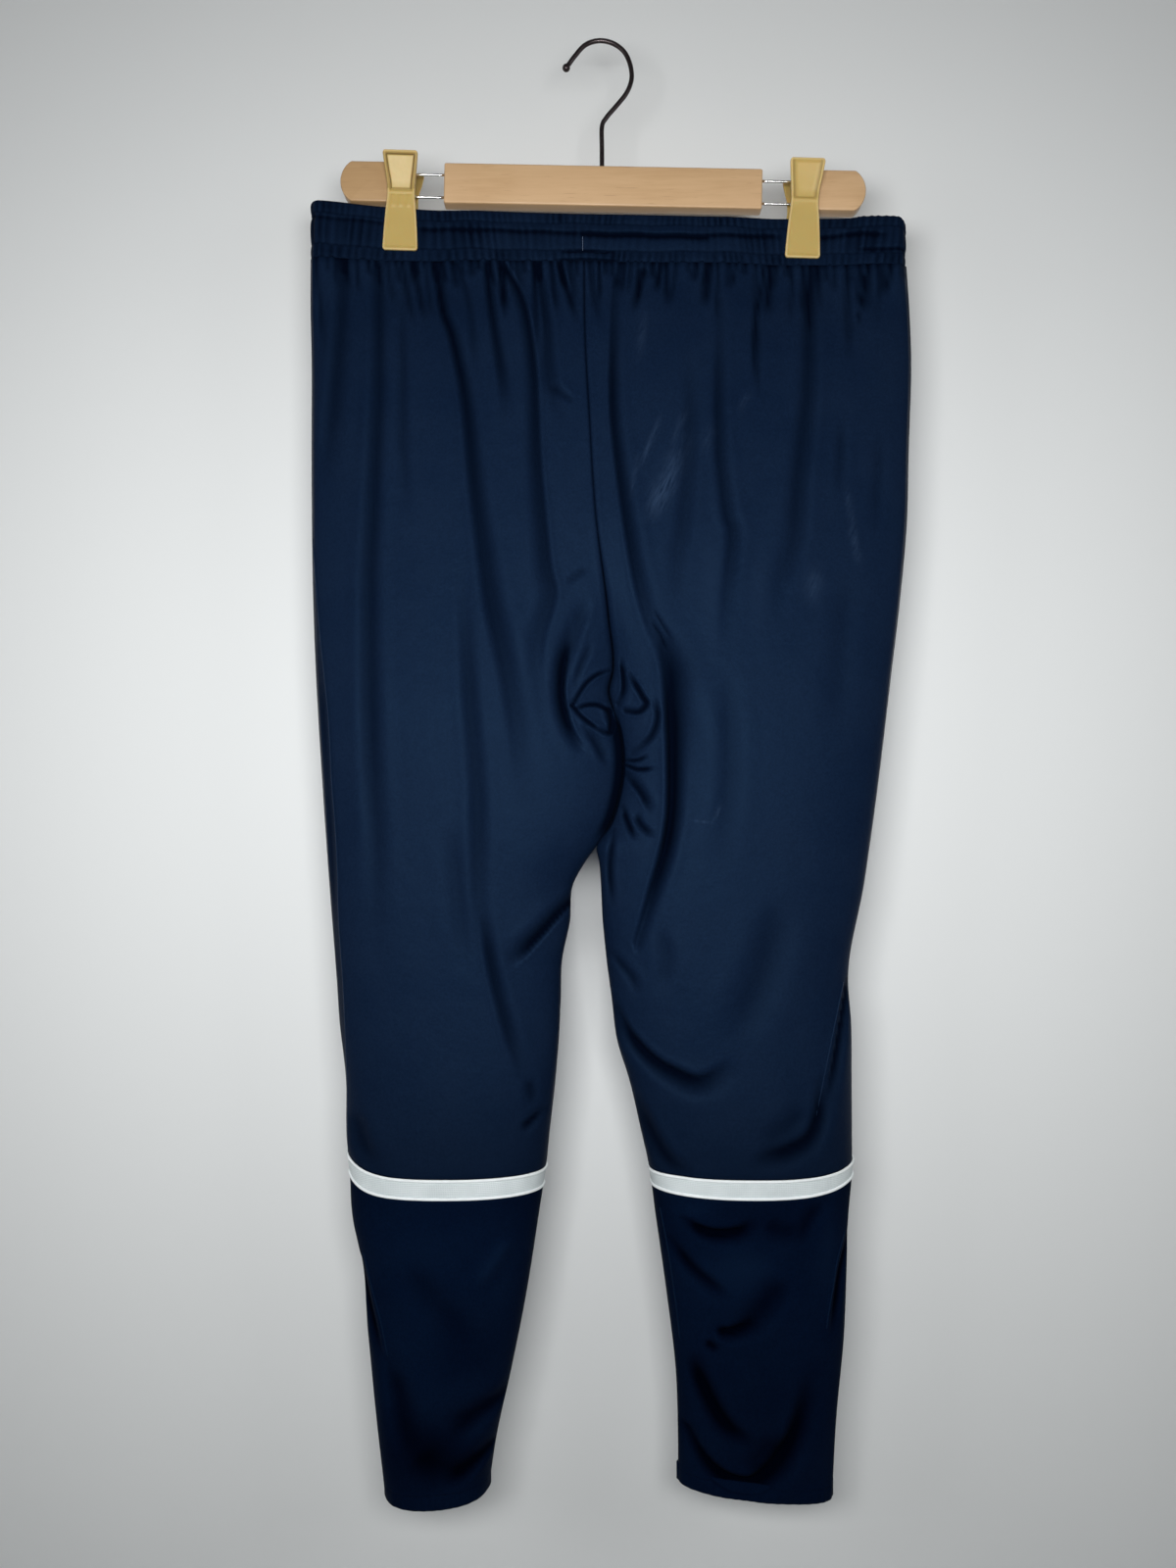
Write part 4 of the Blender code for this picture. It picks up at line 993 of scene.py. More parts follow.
def waistband(finish, rng):
    """The elastic casing: puckered channels between rows of stitching, drawn in at each row."""
    plan, at = waist_loop()
    loop = np.column_stack([plan, np.zeros(len(plan))])
    normals = ring_normals(loop)
    whole = at[-1] + at[1]
    x = plan[:, 0]
    top = read_table(WAIST_EDGES, "top", x)
    seam = read_table(WAIST_EDGES, "seam", x) - SEAM_GAP / 2
    # the right end stands up in scallops and rounds off
    end_scallop = ease((x - SCALLOPS_FROM) / 12)
    inward = 1 - np.clip((OUTSEAMS[0].right - x) / WAIST_END_ROUNDING, 0, 1)
    top = top - SCALLOP_RISE * end_scallop + WAIST_END_FALL * (1 - np.sqrt(1 - inward**2))
    on_back = plan[:, 1] < 0
    held = clipped(x)
    # the middle channel lies smoother where it rolls over
    smooth_part = ease((x + 40) / 40) * (1 - ease((x - 100) / 30)) * on_back
    tables = [rib_table(whole, channel.pitch, rng) for channel in CHANNELS]
    rows, shades = [], []
    for share in np.linspace(0, 1, WAIST_ROWS):
        sunk, ribs, shade = channel_row(share, at, whole, tables, smooth_part)
        rolls = roll_grooves(x, share) * on_back
        sunk = sunk * (1 - 0.5 * held) + ribs * (1 - 0.3 * held) + rolls
        sunk = sunk + max(0.0, 1 - share / 0.05) ** 2
        points = loop - normals * sunk[:, None]
        points[:, 2] = -(top + share * (seam - top))
        if share < 0.06:
            points[:, 2] += (0.9 + 1.2 * end_scallop) * (ribs - RIB_HEIGHT / 2)
        rows.append(points)
        # painted shade in the rib valleys, the rolls and along the stitch rows
        shades.append(0.08 + 0.95 * ribs / RIB_HEIGHT + 0.5 * rolls + shade)
    # the inside of the band, with painted shade
    for share in (1.0, 0.6, 0.3, 0.05):
        points = loop - normals * WAIST_WALL
        points[:, 2] = -(top + share * (seam - top))
        rows.append(points)
        shades.append(np.full(len(plan), 0.5))
    points = np.array(rows)
    uv = np.stack([np.broadcast_to(at, points.shape[:2]), points[..., 2]], axis=-1)
    painted_shading = np.clip(np.array(shades), -1, 1)
    attributes = {"painted_shading": painted_shading, "shine": np.zeros(painted_shading.shape)}
    band = grid_piece("waistband_cloth", points, finish, uv, attributes, around=True, closed=True)
    hand_over(band, "waistband")


# ---------------------------------------------------------------- nodes
class Nodes:
    """A node tree to build. An input takes a value, a socket, or a node for its first output."""

    def __init__(self, tree):
        self.tree = tree

    def feed(self, socket, value):
        if isinstance(value, bpy.types.Node):
            value = value.outputs[0]
        if isinstance(value, bpy.types.NodeSocket):
            self.tree.links.new(value, socket)
        else:
            socket.default_value = value

    def put(self, kind, inputs=None, **settings):
        """A node with its settings and inputs."""
        made = self.tree.nodes.new(kind)
        for key, value in settings.items():
            setattr(made, key, value)
        for key, value in (inputs or {}).items():
            self.feed(made.inputs[key], value)
        return made

    def socket(self, name, kind, way="INPUT"):
        """A socket of a group's interface."""
        make = self.tree.interface.new_socket
        return make(name, in_out=way, socket_type=f"NodeSocket{kind}")

    def math(self, operation, *values, clamp=False):
        inputs = dict(enumerate(values))
        return self.put("ShaderNodeMath", inputs, operation=operation, use_clamp=clamp)

    def fit(self, value, low, high, to_low=0.0, to_high=1.0, **settings):
        """The value, with low brought to to_low and high to to_high."""
        inputs = {"Value": value, "From Min": low, "From Max": high}
        inputs.update({"To Min": to_low, "To Max": to_high})
        return self.put("ShaderNodeMapRange", inputs, **settings)

    def mix(self, factor, first, second, blend="MIX"):
        """A colour between two, by a factor."""
        inputs = {0: factor, 6: first, 7: second}
        return self.put("ShaderNodeMix", inputs, data_type="RGBA", blend_type=blend).outputs[2]

    def noise(self, place, scale, detail, roughness, distortion=0.0):
        inputs = {"Vector": place, "Scale": scale, "Detail": detail, "Roughness": roughness}
        return self.put("ShaderNodeTexNoise", {**inputs, "Distortion": distortion})

    def split(self, place):
        """A vector's X, Y and Z."""
        return self.put("ShaderNodeSeparateXYZ", {0: place}).outputs


# ---------------------------------------------------------------- stitches
def stitch_tree():
    """Geometry Nodes: one small padded stitch at every pitch along each edge of a mesh."""
    nodes = Nodes(bpy.data.node_groups.new("stitch_row", "GeometryNodeTree"))
    nodes.socket("Geometry", "Geometry")
    for name, value in (("Pitch", 2.4), ("Length", 1.8), ("Thickness", 0.5)):
        nodes.socket(name, "Float").default_value = value * MM
    nodes.socket("Thread", "Material")
    nodes.socket("Geometry", "Geometry", "OUTPUT")
    given = nodes.put("NodeGroupInput").outputs
    curve = nodes.put("GeometryNodeMeshToCurve", {"Mesh": given["Geometry"]})
    steps = {"Curve": curve, "Length": given["Pitch"]}
    spaced = nodes.put("GeometryNodeResampleCurve", steps, mode="LENGTH")
    bead = nodes.put("GeometryNodeMeshUVSphere", {"Segments": 6, "Rings": 4, "Radius": 0.5})
    along = {"Vector": nodes.put("GeometryNodeInputTangent")}
    turned = nodes.put("FunctionNodeAlignRotationToVector", along, axis="X")
    sizes = {"X": given["Length"], "Y": given["Thickness"], "Z": given["Thickness"]}
    size = nodes.put("ShaderNodeCombineXYZ", sizes)
    stitch = {"Points": spaced, "Instance": bead, "Rotation": turned, "Scale": size}
    placed = nodes.put("GeometryNodeInstanceOnPoints", stitch)
    real = nodes.put("GeometryNodeRealizeInstances", {"Geometry": placed})
    smooth = nodes.put("GeometryNodeSetShadeSmooth", {"Geometry": real})
    thread = {"Geometry": smooth, "Material": given["Thread"]}
    nodes.put("NodeGroupOutput", {"Geometry": nodes.put("GeometryNodeSetMaterial", thread)})
    return nodes.tree


def stitching(name, tree, paths, thread, pitch=2.4, length=1.8, thickness=0.5):
    """A piece of stitches along the given paths, each a row of points in millimetres."""
    edges = []
    first = 0
    for path in paths:
        edges.extend((first + step, first + step + 1) for step in range(len(path) - 1))
        first += len(path)
    mesh = bpy.data.meshes.new(name)
    mesh.from_pydata((np.concatenate(paths) * MM).tolist(), edges, [])
    piece = link(name, mesh)
    rows = piece.modifiers.new("stitches", "NODES")
    rows.node_group = tree
    values = {"Pitch": pitch * MM, "Length": length * MM, "Thickness": thickness * MM}
    values["Thread"] = thread
    for socket in tree.interface.items_tree:
        if socket.in_out == "INPUT" and socket.name in values:
            rows[socket.identifier] = values[socket.name]
    apply_modifiers(piece)
    hand_over(piece)


def hem_line(side, face):
    """The line of stitching round half a hem, just on the cloth."""
    across = np.linspace(0.03, 0.97, 90)
    drop = leg_level(side, face, HEM, across) - HEM_STITCHING
    name = f"calf_{face}_{side}"
    points, _ = cloth_points(name, across, drop, CREASES[name])
    points[:, 1] += OUT[face] * 0.05
    return points


# ---------------------------------------------------------------- hanger
def hanger_matrix(x=0.0, z=0.0, tilt=0.0):
    """Where a hanger piece stands, in metres."""
    hanger = Matrix.Translation(HANGER_CENTRE * MM) @ Matrix.Rotation(HANGER_TILT, 4, "Y")
    return hanger @ Matrix.Translation(Vector((x, 0, z)) * MM) @ Matrix.Rotation(tilt, 4, "Y")


def clip_matrix(side):
    return hanger_matrix(WAY[side] * CLIP_PLACE, -CLIP_BELOW_CENTRE, CLIP_TILT)


def settle(piece, matrix, node=None):
    """Puts a piece's place in its mesh and hands it to the frame."""
    piece.data.transform(matrix)
    hand_over(piece, node)


def bar_prism(name, outline, eased, finish):
    """A flat outline (x, height) made as deep as the bar, with rounded edges."""
    bm = bmesh.new()
    corners = [bm.verts.new((x * MM, -BAR_THICKNESS / 2 * MM, z * MM)) for x, z in outline]
    pushed = bmesh.ops.extrude_face_region(bm, geom=[bm.faces.new(corners)])["geom"]
    moved = [item for item in pushed if isinstance(item, bmesh.types.BMVert)]
    bmesh.ops.translate(bm, verts=moved, vec=(0, BAR_THICKNESS * MM, 0))
    mesh = bpy.data.meshes.new(name)
    settle_faces(bm, mesh)
    mesh.materials.append(finish)
    piece = link(name, mesh)
    bevel = piece.modifiers.new("eased edges", "BEVEL")
    bevel.width = eased * MM
    bevel.segments = 4
    bevel.limit_method = "ANGLE"
    bevel.angle_limit = math.radians(30)
    apply_modifiers(piece)
    piece.data.shade_smooth()
    piece.data.set_sharp_from_angle(angle=math.radians(35))
    return piece


def hanger_wood(finish):
    """The bar and its two rounded ends."""
    half_length, half_height = BAR_LENGTH / 2, BAR_HEIGHT / 2
    outline = [(-half_length, -half_height), (half_length, -half_height)]
    outline += [(half_length, half_height), (-half_length, half_height)]
    bar = bar_prism("bar_wood", outline, 1.3, finish)
    settle(bar, hanger_matrix(), "hanger_bar")
    half_angle = math.asin(half_height / END_ARC_RADIUS)
    centre = END_OUTER - END_ARC_RADIUS
    for side, way in WAY.items():
        outline = [(way * END_INNER, -half_height)]
        for angle in half_angle * np.linspace(-1, 1, 33):
            x = way * (centre + END_ARC_RADIUS * math.cos(angle))
            outline.append((x, END_ARC_RADIUS * math.sin(angle)))
        outline.append((way * END_INNER, half_height))
        end = bar_prism(f"end_{side}_wood", outline, 1.2, finish)
        settle(end, hanger_matrix(), f"hanger_end_{side}")


def sweep(name, line, radii, finish, sides):
    """A round wire along points in the plane y = 0, with a radius at each, in millimetres."""
    line = np.asarray(line, float)
    ahead = np.gradient(line, axis=0)
    ahead /= np.linalg.norm(ahead, axis=1)[:, None]
    level = np.array([0.0, 1.0, 0.0])
    beside = np.cross(ahead, level)
    turns = np.linspace(0, 2 * math.pi, sides, endpoint=False)
    rings = [
        point + radius * (math.cos(turn) * side + math.sin(turn) * level)
        for point, radius, side in zip(line, radii, beside)
        for turn in turns
    ]
    points = np.array(rings).reshape(len(line), sides, 3)
    reached = running(np.linalg.norm(np.diff(line, axis=0), axis=1))
    uv = np.stack(np.broadcast_arrays(turns * 2, reached[:, None]), axis=-1)
    piece = grid_piece(name, points, finish, uv, around=True)
    close_ends(piece, sides)
    return piece


def hanger_wires(finish):
    """The two wires on each side that carry the clips."""
    start, end = BAR_LENGTH / 2 + SEAM_GAP, END_INNER - SEAM_GAP
    for side, way in WAY.items():
        for level, height in (("upper", WIRE_SPREAD), ("lower", -WIRE_SPREAD)):
            line = [(way * x, 0, height) for x in np.linspace(start, end, 12)]
            radii = [WIRE_RADIUS] * len(line)
            wire = sweep(f"{level}_{side}_wire", line, radii, finish, 20)
            settle(wire, hanger_matrix(), f"wire_{level}_{side}")


HookPoint = namedtuple("HookPoint", "x drop")
HOOK_ROUTE = table_of(
    HookPoint,
    (2.4, 96.2),
    (2.4, 80),
    (2.4, 64.1),
    (5.7, 57.2),
    (13.4, 48.1),
    (20.3, 39.6),
    (24, 32),
    (25.2, 24.3),
    (23.3, 14.3),
    (18.7, 5.9),
    (10.5, 0.1),
    (0, -1.8),
    (-10.5, 1.6),
    (-18.8, 10.6),
    (-24.9, 19),
)


def hook(finish):
    """The wire hook with a small ball on its tip."""
    route = smooth_route([(point.x, 0.0, -point.drop) for point in HOOK_ROUTE], 8)
    tip = route[-1]
    away = np.linalg.norm(route - tip, axis=1)
    line = [point for point, far in zip(route, away) if far > HOOK_BALL_RADIUS * 0.82]
    radii = [HOOK_RADIUS] * len(line)
    ahead = (tip - line[-1]) / np.linalg.norm(tip - line[-1])
    for angle in np.linspace(math.radians(128), 0.02, 14):
        line.append(tip + ahead * HOOK_BALL_RADIUS * math.cos(angle))
        radii.append(max(HOOK_BALL_RADIUS * math.sin(angle), 0.05))
    settle(sweep("hook_wire", line, radii, finish, 28), Matrix(), "hook")


LeverStation = namedtuple("LeverStation", "height width out")
LEVER = table_of(
    LeverStation,
    (-45.5, 26.9, 7.4),
    (-30, 25.2, 8.4),
    (-16, 23, 9.5),
    (-3, 20.8, 10.5),
    (4, 21.4, 11.7),
    (12, 23.8, 15.4),
    (24, 26.8, 20.5),
)
LEVER_FOOT, LEVER_TOP = LEVER[0].height, LEVER[-1].height
LEVER_ENDS = ([-45.5, -45.45, -45.3, -45, -44.5], [22.6, 23.2, 23.6, 23.9, 24])
LEVER_CORNER = 2.4
LEVER_RIM = 1.5
LEVER_EDGE = 0.8


def lever_relief(side, across, height):
    """How far the lever's face is sunk within its rim, with a ridge and a pad that stand up."""
    rim = ease((across - LEVER_RIM) / 0.7)
    floor = ease((22.3 - height) / 0.7) * ease((height + 44.0) / 1.5)
    sunk = 0.45 * rim * floor - 0.7 * bell(height + 3.0, 0.9) * rim
    handle = ease((height + 1.4) / 0.8) * floor
    if side == "right":
        return sunk + 0.9 * handle * ease((across - LEVER_RIM) / 4.5)
    pad = ease((across - 2.5 - 0.02 * (22 - height)) / 0.4) * ease((21.4 - height) / 0.4)
    return sunk + 0.5 * handle * rim - 0.6 * pad * handle


def lever_painted_shade(side, across, height):
    """Painted shade of the moulded face under its ridge and in its hollows, negative for painted
    highlights.
    """
    from_end = np.minimum(23.0 - height, height + 44.5)
    on_rim = 1 - ease((np.minimum(across, from_end + 1.5) - 0.8) / 1.2)
    on_handle = ease((height + 1.0) / 0.8) * ease(from_end / 0.7)
    line = 0.35 * bell(height + 1.2, 0.7) - 0.6 * on_rim * (1 - on_handle)
    if side == "right":
        return line + on_handle * (0.5 * bell(across - LEVER_RIM - 1.0, 1.2) - 0.4 * on_rim)
    within = np.minimum(21.2 - height, height + 0.6)
    border = np.minimum(across - 2.7 - 0.02 * (22 - height), within)
    outline = 0.9 * bell(border, 0.55) + 0.35 * (border < 0)
    return line + on_handle * (outline - 0.9 * ease((border - 0.5) / 0.8))


def clip_lever(side, face, finish):
    """One moulded lever of a clip, with its jaw below the ridge and flared handle above it."""
    heights = np.concatenate([LEVER_ENDS[0], np.linspace(-44, 22, 96), LEVER_ENDS[1]])[:, None]
    ends = np.minimum(heights - LEVER_FOOT, LEVER_TOP - heights)
    corner = np.clip(LEVER_CORNER - ends, 0, LEVER_CORNER)
    half = read_table(LEVER, "width", heights) / 2
    half = half - (LEVER_CORNER - np.sqrt(LEVER_CORNER**2 - corner**2))
    turns = np.linspace(-1, 1, 49)
    x = half * (np.sin(turns * math.pi / 2) * 0.35 + turns * 0.65)
    across = half - np.abs(x)
    edge = np.clip(1 - np.minimum(across, ends) / LEVER_EDGE, 0, 1)
    rounding = LEVER_EDGE * (1 - np.sqrt(1 - edge**2 * 0.98))
    relief, lines = 0.45 * ease((across - LEVER_RIM) / 0.7), np.zeros(x.shape)
    if face == "back":
        relief = lever_relief(side, across, heights)
        lines = lever_painted_shade(side, across, heights)
    if (face, side) == ("back", "left"):
        ribs = sum(bell(x - place, 2.0) for place in (-6.0, -0.2, 5.8))
        relief = relief - 0.7 * ribs * ease((heights + 15) / 3) * ease((-4.6 - heights) / 0.8)
    out = read_table(LEVER, "out", heights)
    z = np.broadcast_to(heights, x.shape)
    outer = np.stack([x, OUT[face] * (out - rounding - relief), z], axis=-1)
    inner = np.stack([x, OUT[face] * (out - LEVER_WALL + rounding * 0.6), z], axis=-1)
    points = np.concatenate([outer, inner[:, ::-1]], axis=1)
    # the moulding's painted shade and highlights
    attributes = {"line": np.concatenate([lines, np.zeros(x.shape)], axis=1)}
    uv = points[..., [0, 2]]
    piece = grid_piece(f"clip_{side}_{face}", points, finish, uv, attributes, around=True)
    close_lever(piece.data, *points.shape[:2])
    piece.data.shade_smooth()
    piece.data.set_sharp_from_angle(angle=math.radians(60))
    settle(piece, clip_matrix(side), f"clip_{side}_{face}_lever")


def close_lever(mesh, rows, columns):
    """Closes both ends of a lever with faces from its outer side to its inner side."""
    bm = bmesh.new()
    bm.from_mesh(mesh)
    bm.verts.ensure_lookup_table()
    for row in (0, rows - 1):
        ring = bm.verts[row * columns : (row + 1) * columns]
        for step in range(columns // 2 - 1):
            bm.faces.new((ring[step], ring[step + 1], ring[-step - 2], ring[-step - 1]))
    settle_faces(bm, mesh)


def clip_coil(side, finish):
    """The steel spring wound between a clip's two wires."""
    turn = np.linspace(0, COIL_TURNS * 2 * math.pi, COIL_TURNS * 20)
    y, z = COIL_RADIUS * np.cos(turn), COIL_HEIGHT + COIL_RADIUS * np.sin(turn)
    line = np.stack([np.linspace(-COIL_REACH, COIL_REACH, len(turn)), y, z], axis=1)
    curve = bpy.data.curves.new(f"coil_{side}", "CURVE")
    curve.dimensions = "3D"
    curve.bevel_depth = 0.6 * MM
    curve.bevel_resolution = 2
    curve.use_fill_caps = True
    spline = curve.splines.new("POLY")
    spline.points.add(len(line) - 1)
    for knot, point in zip(spline.points, line * MM):
        knot.co = (*point, 1.0)
    curve.materials.append(finish)
    rough = link(f"coil_{side}_curve", curve)
    mesh = evaluated_mesh(rough)
    bpy.data.objects.remove(rough)
    mesh.shade_smooth()
    settle(link(f"coil_{side}", mesh), clip_matrix(side))


# ---------------------------------------------------------------- finishes
def new_group(name, inputs, *outputs):
    """A shader group with float inputs, the place to look it up at, and float outputs."""
    nodes = Nodes(bpy.data.node_groups.new(name, "ShaderNodeTree"))
    for key, value in inputs.items():
        nodes.socket(key, "Float").default_value = value
    nodes.socket("Place", "Vector")
    for key in outputs:
        nodes.socket(key, "Float", "OUTPUT")
    return nodes, nodes.put("NodeGroupInput").outputs


def mottle_group():
    """Soft uneven patches and fine speckle, for cloth, plastic and wood alike."""
    sizes = {"Patch Size": 40.0, "Speckle Size": 900.0}
    nodes, given = new_group("mottle", sizes, "Patches", "Speckle")
    patches = nodes.noise(given["Place"], given["Patch Size"], 3.0, 0.55)
    speckle = nodes.noise(given["Place"], given["Speckle Size"], 2.0, 0.6)
    nodes.put("NodeGroupOutput", {"Patches": patches, "Speckle": speckle})
    return nodes.tree


def knit_group():
    """Fine columns of a smooth knit, with the rows of loops across them."""
    nodes, given = new_group("knit", {"Columns": 1400.0, "Rows": 1100.0}, "Height")
    place = nodes.split(given["Place"])
    u = nodes.math("MULTIPLY", place["X"], given["Columns"])
    v = nodes.math("MULTIPLY", place["Y"], given["Rows"])
    column = nodes.math("ABSOLUTE", nodes.math("SINE", nodes.math("MULTIPLY", u, math.pi)))
    slanted = nodes.math("MULTIPLY_ADD", v, math.pi, nodes.math("MULTIPLY", column, 1.4))
    loops = nodes.math("ABSOLUTE", nodes.math("SINE", slanted))
    height = nodes.math("MULTIPLY_ADD", column, 0.6, nodes.math("MULTIPLY", loops, 0.4))
    nodes.put("NodeGroupOutput", {"Height": height})
    return nodes.tree


def streaks_group():
    """Uneven strokes that slant down to the left, as rubbing leaves them: the painted sheen's
    pattern.
    """
    nodes, given = new_group("streaks", {"Fineness": 560.0}, "Streaks")
    drawn = {"Rotation": (0.0, STROKE_SLANT, 0.0), "Scale": (1.0, 1.0, STROKE_STRETCH)}
    drawn["Vector"] = given["Place"]
    turned = nodes.put("ShaderNodeMapping", drawn, vector_type="TEXTURE")
    strokes = nodes.noise(turned, given["Fineness"], 3.0, 0.65)
    nodes.put("NodeGroupOutput", {"Streaks": nodes.fit(strokes, 0.33, 0.62)})
    return nodes.tree


def eyelet_group():
    """The small staggered holes of a knitted mesh: 1 on the yarn, 0 in a hole."""
    nodes, given = new_group("eyelets", {"Pitch": 1.5}, "Yarn")
    place = nodes.split(given["Place"])
    turn = nodes.math("DIVIDE", 2 * math.pi / MM, given["Pitch"])
    waves = []
    for way in ("ADD", "SUBTRACT"):
        slanted = nodes.math(way, place["X"], place["Y"])
        waves.append(nodes.math("SINE", nodes.math("MULTIPLY", slanted, turn)))
    crossing = nodes.math("MULTIPLY", *waves)
    yarn = nodes.fit(crossing, 0.75, 0.25, interpolation_type="SMOOTHSTEP")
    nodes.put("NodeGroupOutput", {"Yarn": yarn})
    return nodes.tree


def grain_group():
    """Long wood fibres along X with short dark flecks."""
    nodes, given = new_group("grain", {"Stretch": 14.0}, "Fibres", "Flecks")
    along = nodes.math("DIVIDE", 1.0, given["Stretch"])
    shape = nodes.put("ShaderNodeCombineXYZ", {"X": along, "Y": 1.0, "Z": 1.0})
    factors = {0: given["Place"], 1: shape}
    place = nodes.put("ShaderNodeVectorMath", factors, operation="MULTIPLY")
    fibres = nodes.noise(place, 260.0, 5.0, 0.6, 0.4)
    flecks = nodes.fit(nodes.noise(place, 900.0, 1.0, 0.5), 0.66, 0.78)
    nodes.put("NodeGroupOutput", {"Fibres": fibres, "Flecks": flecks})
    return nodes.tree


class Finish(Nodes):
    """A material to build: its shader's plain settings, and what its groups and marks give."""

    def __init__(self, name, groups=None, **settings):
        self.material = bpy.data.materials.new(name)
        self.material.use_nodes = True
        super().__init__(self.material.node_tree)
        self.groups = groups
        self.paint(**settings)

    def paint(self, **settings):
        """Sets the shader's sockets, whose names are written with underscores."""
        shader = self.tree.nodes["Principled BSDF"]
        for key, value in settings.items():
            self.feed(shader.inputs[key.replace("_", " ")], value)

    def where(self, kind="Object"):
        return self.put("ShaderNodeTexCoord").outputs[kind]

    def use(self, group, kind="Object", **values):
        """What a group gives at each place, with this material's values."""
        inputs = {key.replace("_", " "): value for key, value in values.items()}
        inputs["Place"] = self.where(kind)
        return self.put("ShaderNodeGroup", inputs, node_tree=self.groups[group]).outputs

    def mottle(self, patch, speckle):
        return self.use("mottle", Patch_Size=patch, Speckle_Size=speckle)

    def mark(self, name):
        """A value that the mesh carries."""
        return self.put("ShaderNodeAttribute", attribute_name=name).outputs["Fac"]

    def bump(self, height, distance, strength):
        inputs = {"Height": height, "Distance": distance * MM, "Strength": strength}
        self.paint(Normal=self.put("ShaderNodeBump", inputs))


KNIT_SHEEN = {"Sheen_Weight": 0.006, "Sheen_Roughness": 0.45, "Sheen_Tint": (0.3, 0.5, 1.0, 1.0)}


def knit_finish(name, groups, colour, speckle_and_fold_shade, worn, roughness, ior):
    """A smooth polyester knit: painted shade in its folds, painted sheen where rubbing made it
    shine.
    """
    made = Finish(name, groups, IOR=ior, Specular_Tint=(0.25, 0.55, 1.0, 1.0), **KNIT_SHEEN)
    mottle, slack = made.mottle(22.0, 650.0), made.mottle(75.0, 240.0)
    painted_shading, shine = made.mark("painted_shading"), made.mark("shine")
    base = made.mix(made.fit(mottle["Patches"], 0.3, 0.7, 0.0, 0.35), colour, worn)
    base = made.mix(made.fit(mottle["Speckle"], 0.35, 0.65, 0.0, 0.25), base, speckle_and_fold_shade)
    # painted shade: the folds darken towards the shade colour
    base = made.mix(made.fit(painted_shading, 0.0, 1.0, 0.0, 0.94), base, speckle_and_fold_shade)
    # painted highlight: ridges and seam edges, where the painted shading is negative, turn to the
    # paler worn colour
    base = made.mix(made.fit(painted_shading, 0.0, -0.6, 0.0, 0.9), base, worn)
    # painted sheen: lighter bluish strokes where rubbing has made the cloth shine
    painted_sheen = made.math("MULTIPLY", shine, made.use("streaks")["Streaks"])
    base = made.mix(made.math("MULTIPLY", painted_sheen, 0.6), base, (0.045, 0.080, 0.150, 1.0))
    rough = made.fit(mottle["Patches"], 0.3, 0.7, roughness - 0.05, roughness + 0.05)
    rough = made.math("ADD", rough, made.fit(painted_shading, 0.0, 1.0, 0.0, 0.4), clamp=True)
    made.paint(Base_Color=base, Roughness=rough)
    height = made.math("MULTIPLY_ADD", mottle["Speckle"], 0.9, made.use("knit", "UV")["Height"])
    height = made.math("MULTIPLY_ADD", slack["Patches"], 12.0, height)
    height = made.math("MULTIPLY_ADD", slack["Speckle"], 2.0, height)
    made.bump(height, 0.12, 0.35)
    return made.material


def mesh_finish(groups):
    made = Finish("white_mesh", groups, Roughness=0.75, Sheen_Weight=0.1, Specular_IOR_Level=0.3)
    yarn = made.use("eyelets", "UV", Pitch=2.6)["Yarn"]
    base = made.mix(yarn, (0.40, 0.46, 0.48, 1.0), (0.70, 0.76, 0.77, 1.0))
    worn = made.fit(made.mottle(55.0, 900.0)["Patches"], 0.35, 0.65, 0.0, 0.5)
    made.paint(Base_Color=made.mix(worn, base, (0.50, 0.56, 0.57, 1.0)))
    made.bump(yarn, 0.25, 0.6)
    return made.material


def plain_cloth(name, groups, colour, roughness, specular=0.3):
    """Thread and piping: one colour with a fine twist."""
    made = Finish(name, groups, Roughness=roughness, Specular_IOR_Level=specular)
    mottle = made.mottle(120.0, 1500.0)
    darker = (*(0.82 * channel for channel in colour[:3]), 1.0)
    made.paint(Base_Color=made.mix(mottle["Patches"], colour, darker))
    made.bump(mottle["Speckle"], 0.1, 0.3)
    return made.material


def beech_finish(groups):
    """Varnished beech, greyer on the hanger's left end."""
    made = Finish("beech", groups, Coat_Weight=0.12, Coat_Roughness=0.3)
    grain, mottle = made.use("grain"), made.mottle(14.0, 400.0)
    fibres = made.fit(grain["Fibres"], 0.3, 0.7)
    base = made.mix(fibres, (0.60, 0.395, 0.215, 1.0), (0.52, 0.325, 0.165, 1.0))
    patches = made.fit(mottle["Patches"], 0.35, 0.7, 0.0, 0.5)
    base = made.mix(patches, base, (0.63, 0.42, 0.24, 1.0))
    flecks = made.math("MULTIPLY", grain["Flecks"], 0.35)
    base = made.mix(flecks, base, (0.30, 0.16, 0.075, 1.0))
    left_end = made.fit(made.split(made.where())["X"], -0.150, -0.155)
    greyer = made.mix(1.0, base, (0.79, 0.76, 0.68, 1.0), "MULTIPLY")
    rough = made.fit(grain["Fibres"], 0.3, 0.7, 0.40, 0.52)
    made.paint(Base_Color=made.mix(left_end, base, greyer), Roughness=rough)
    made.bump(grain["Fibres"], 0.15, 0.25)
    return made.material


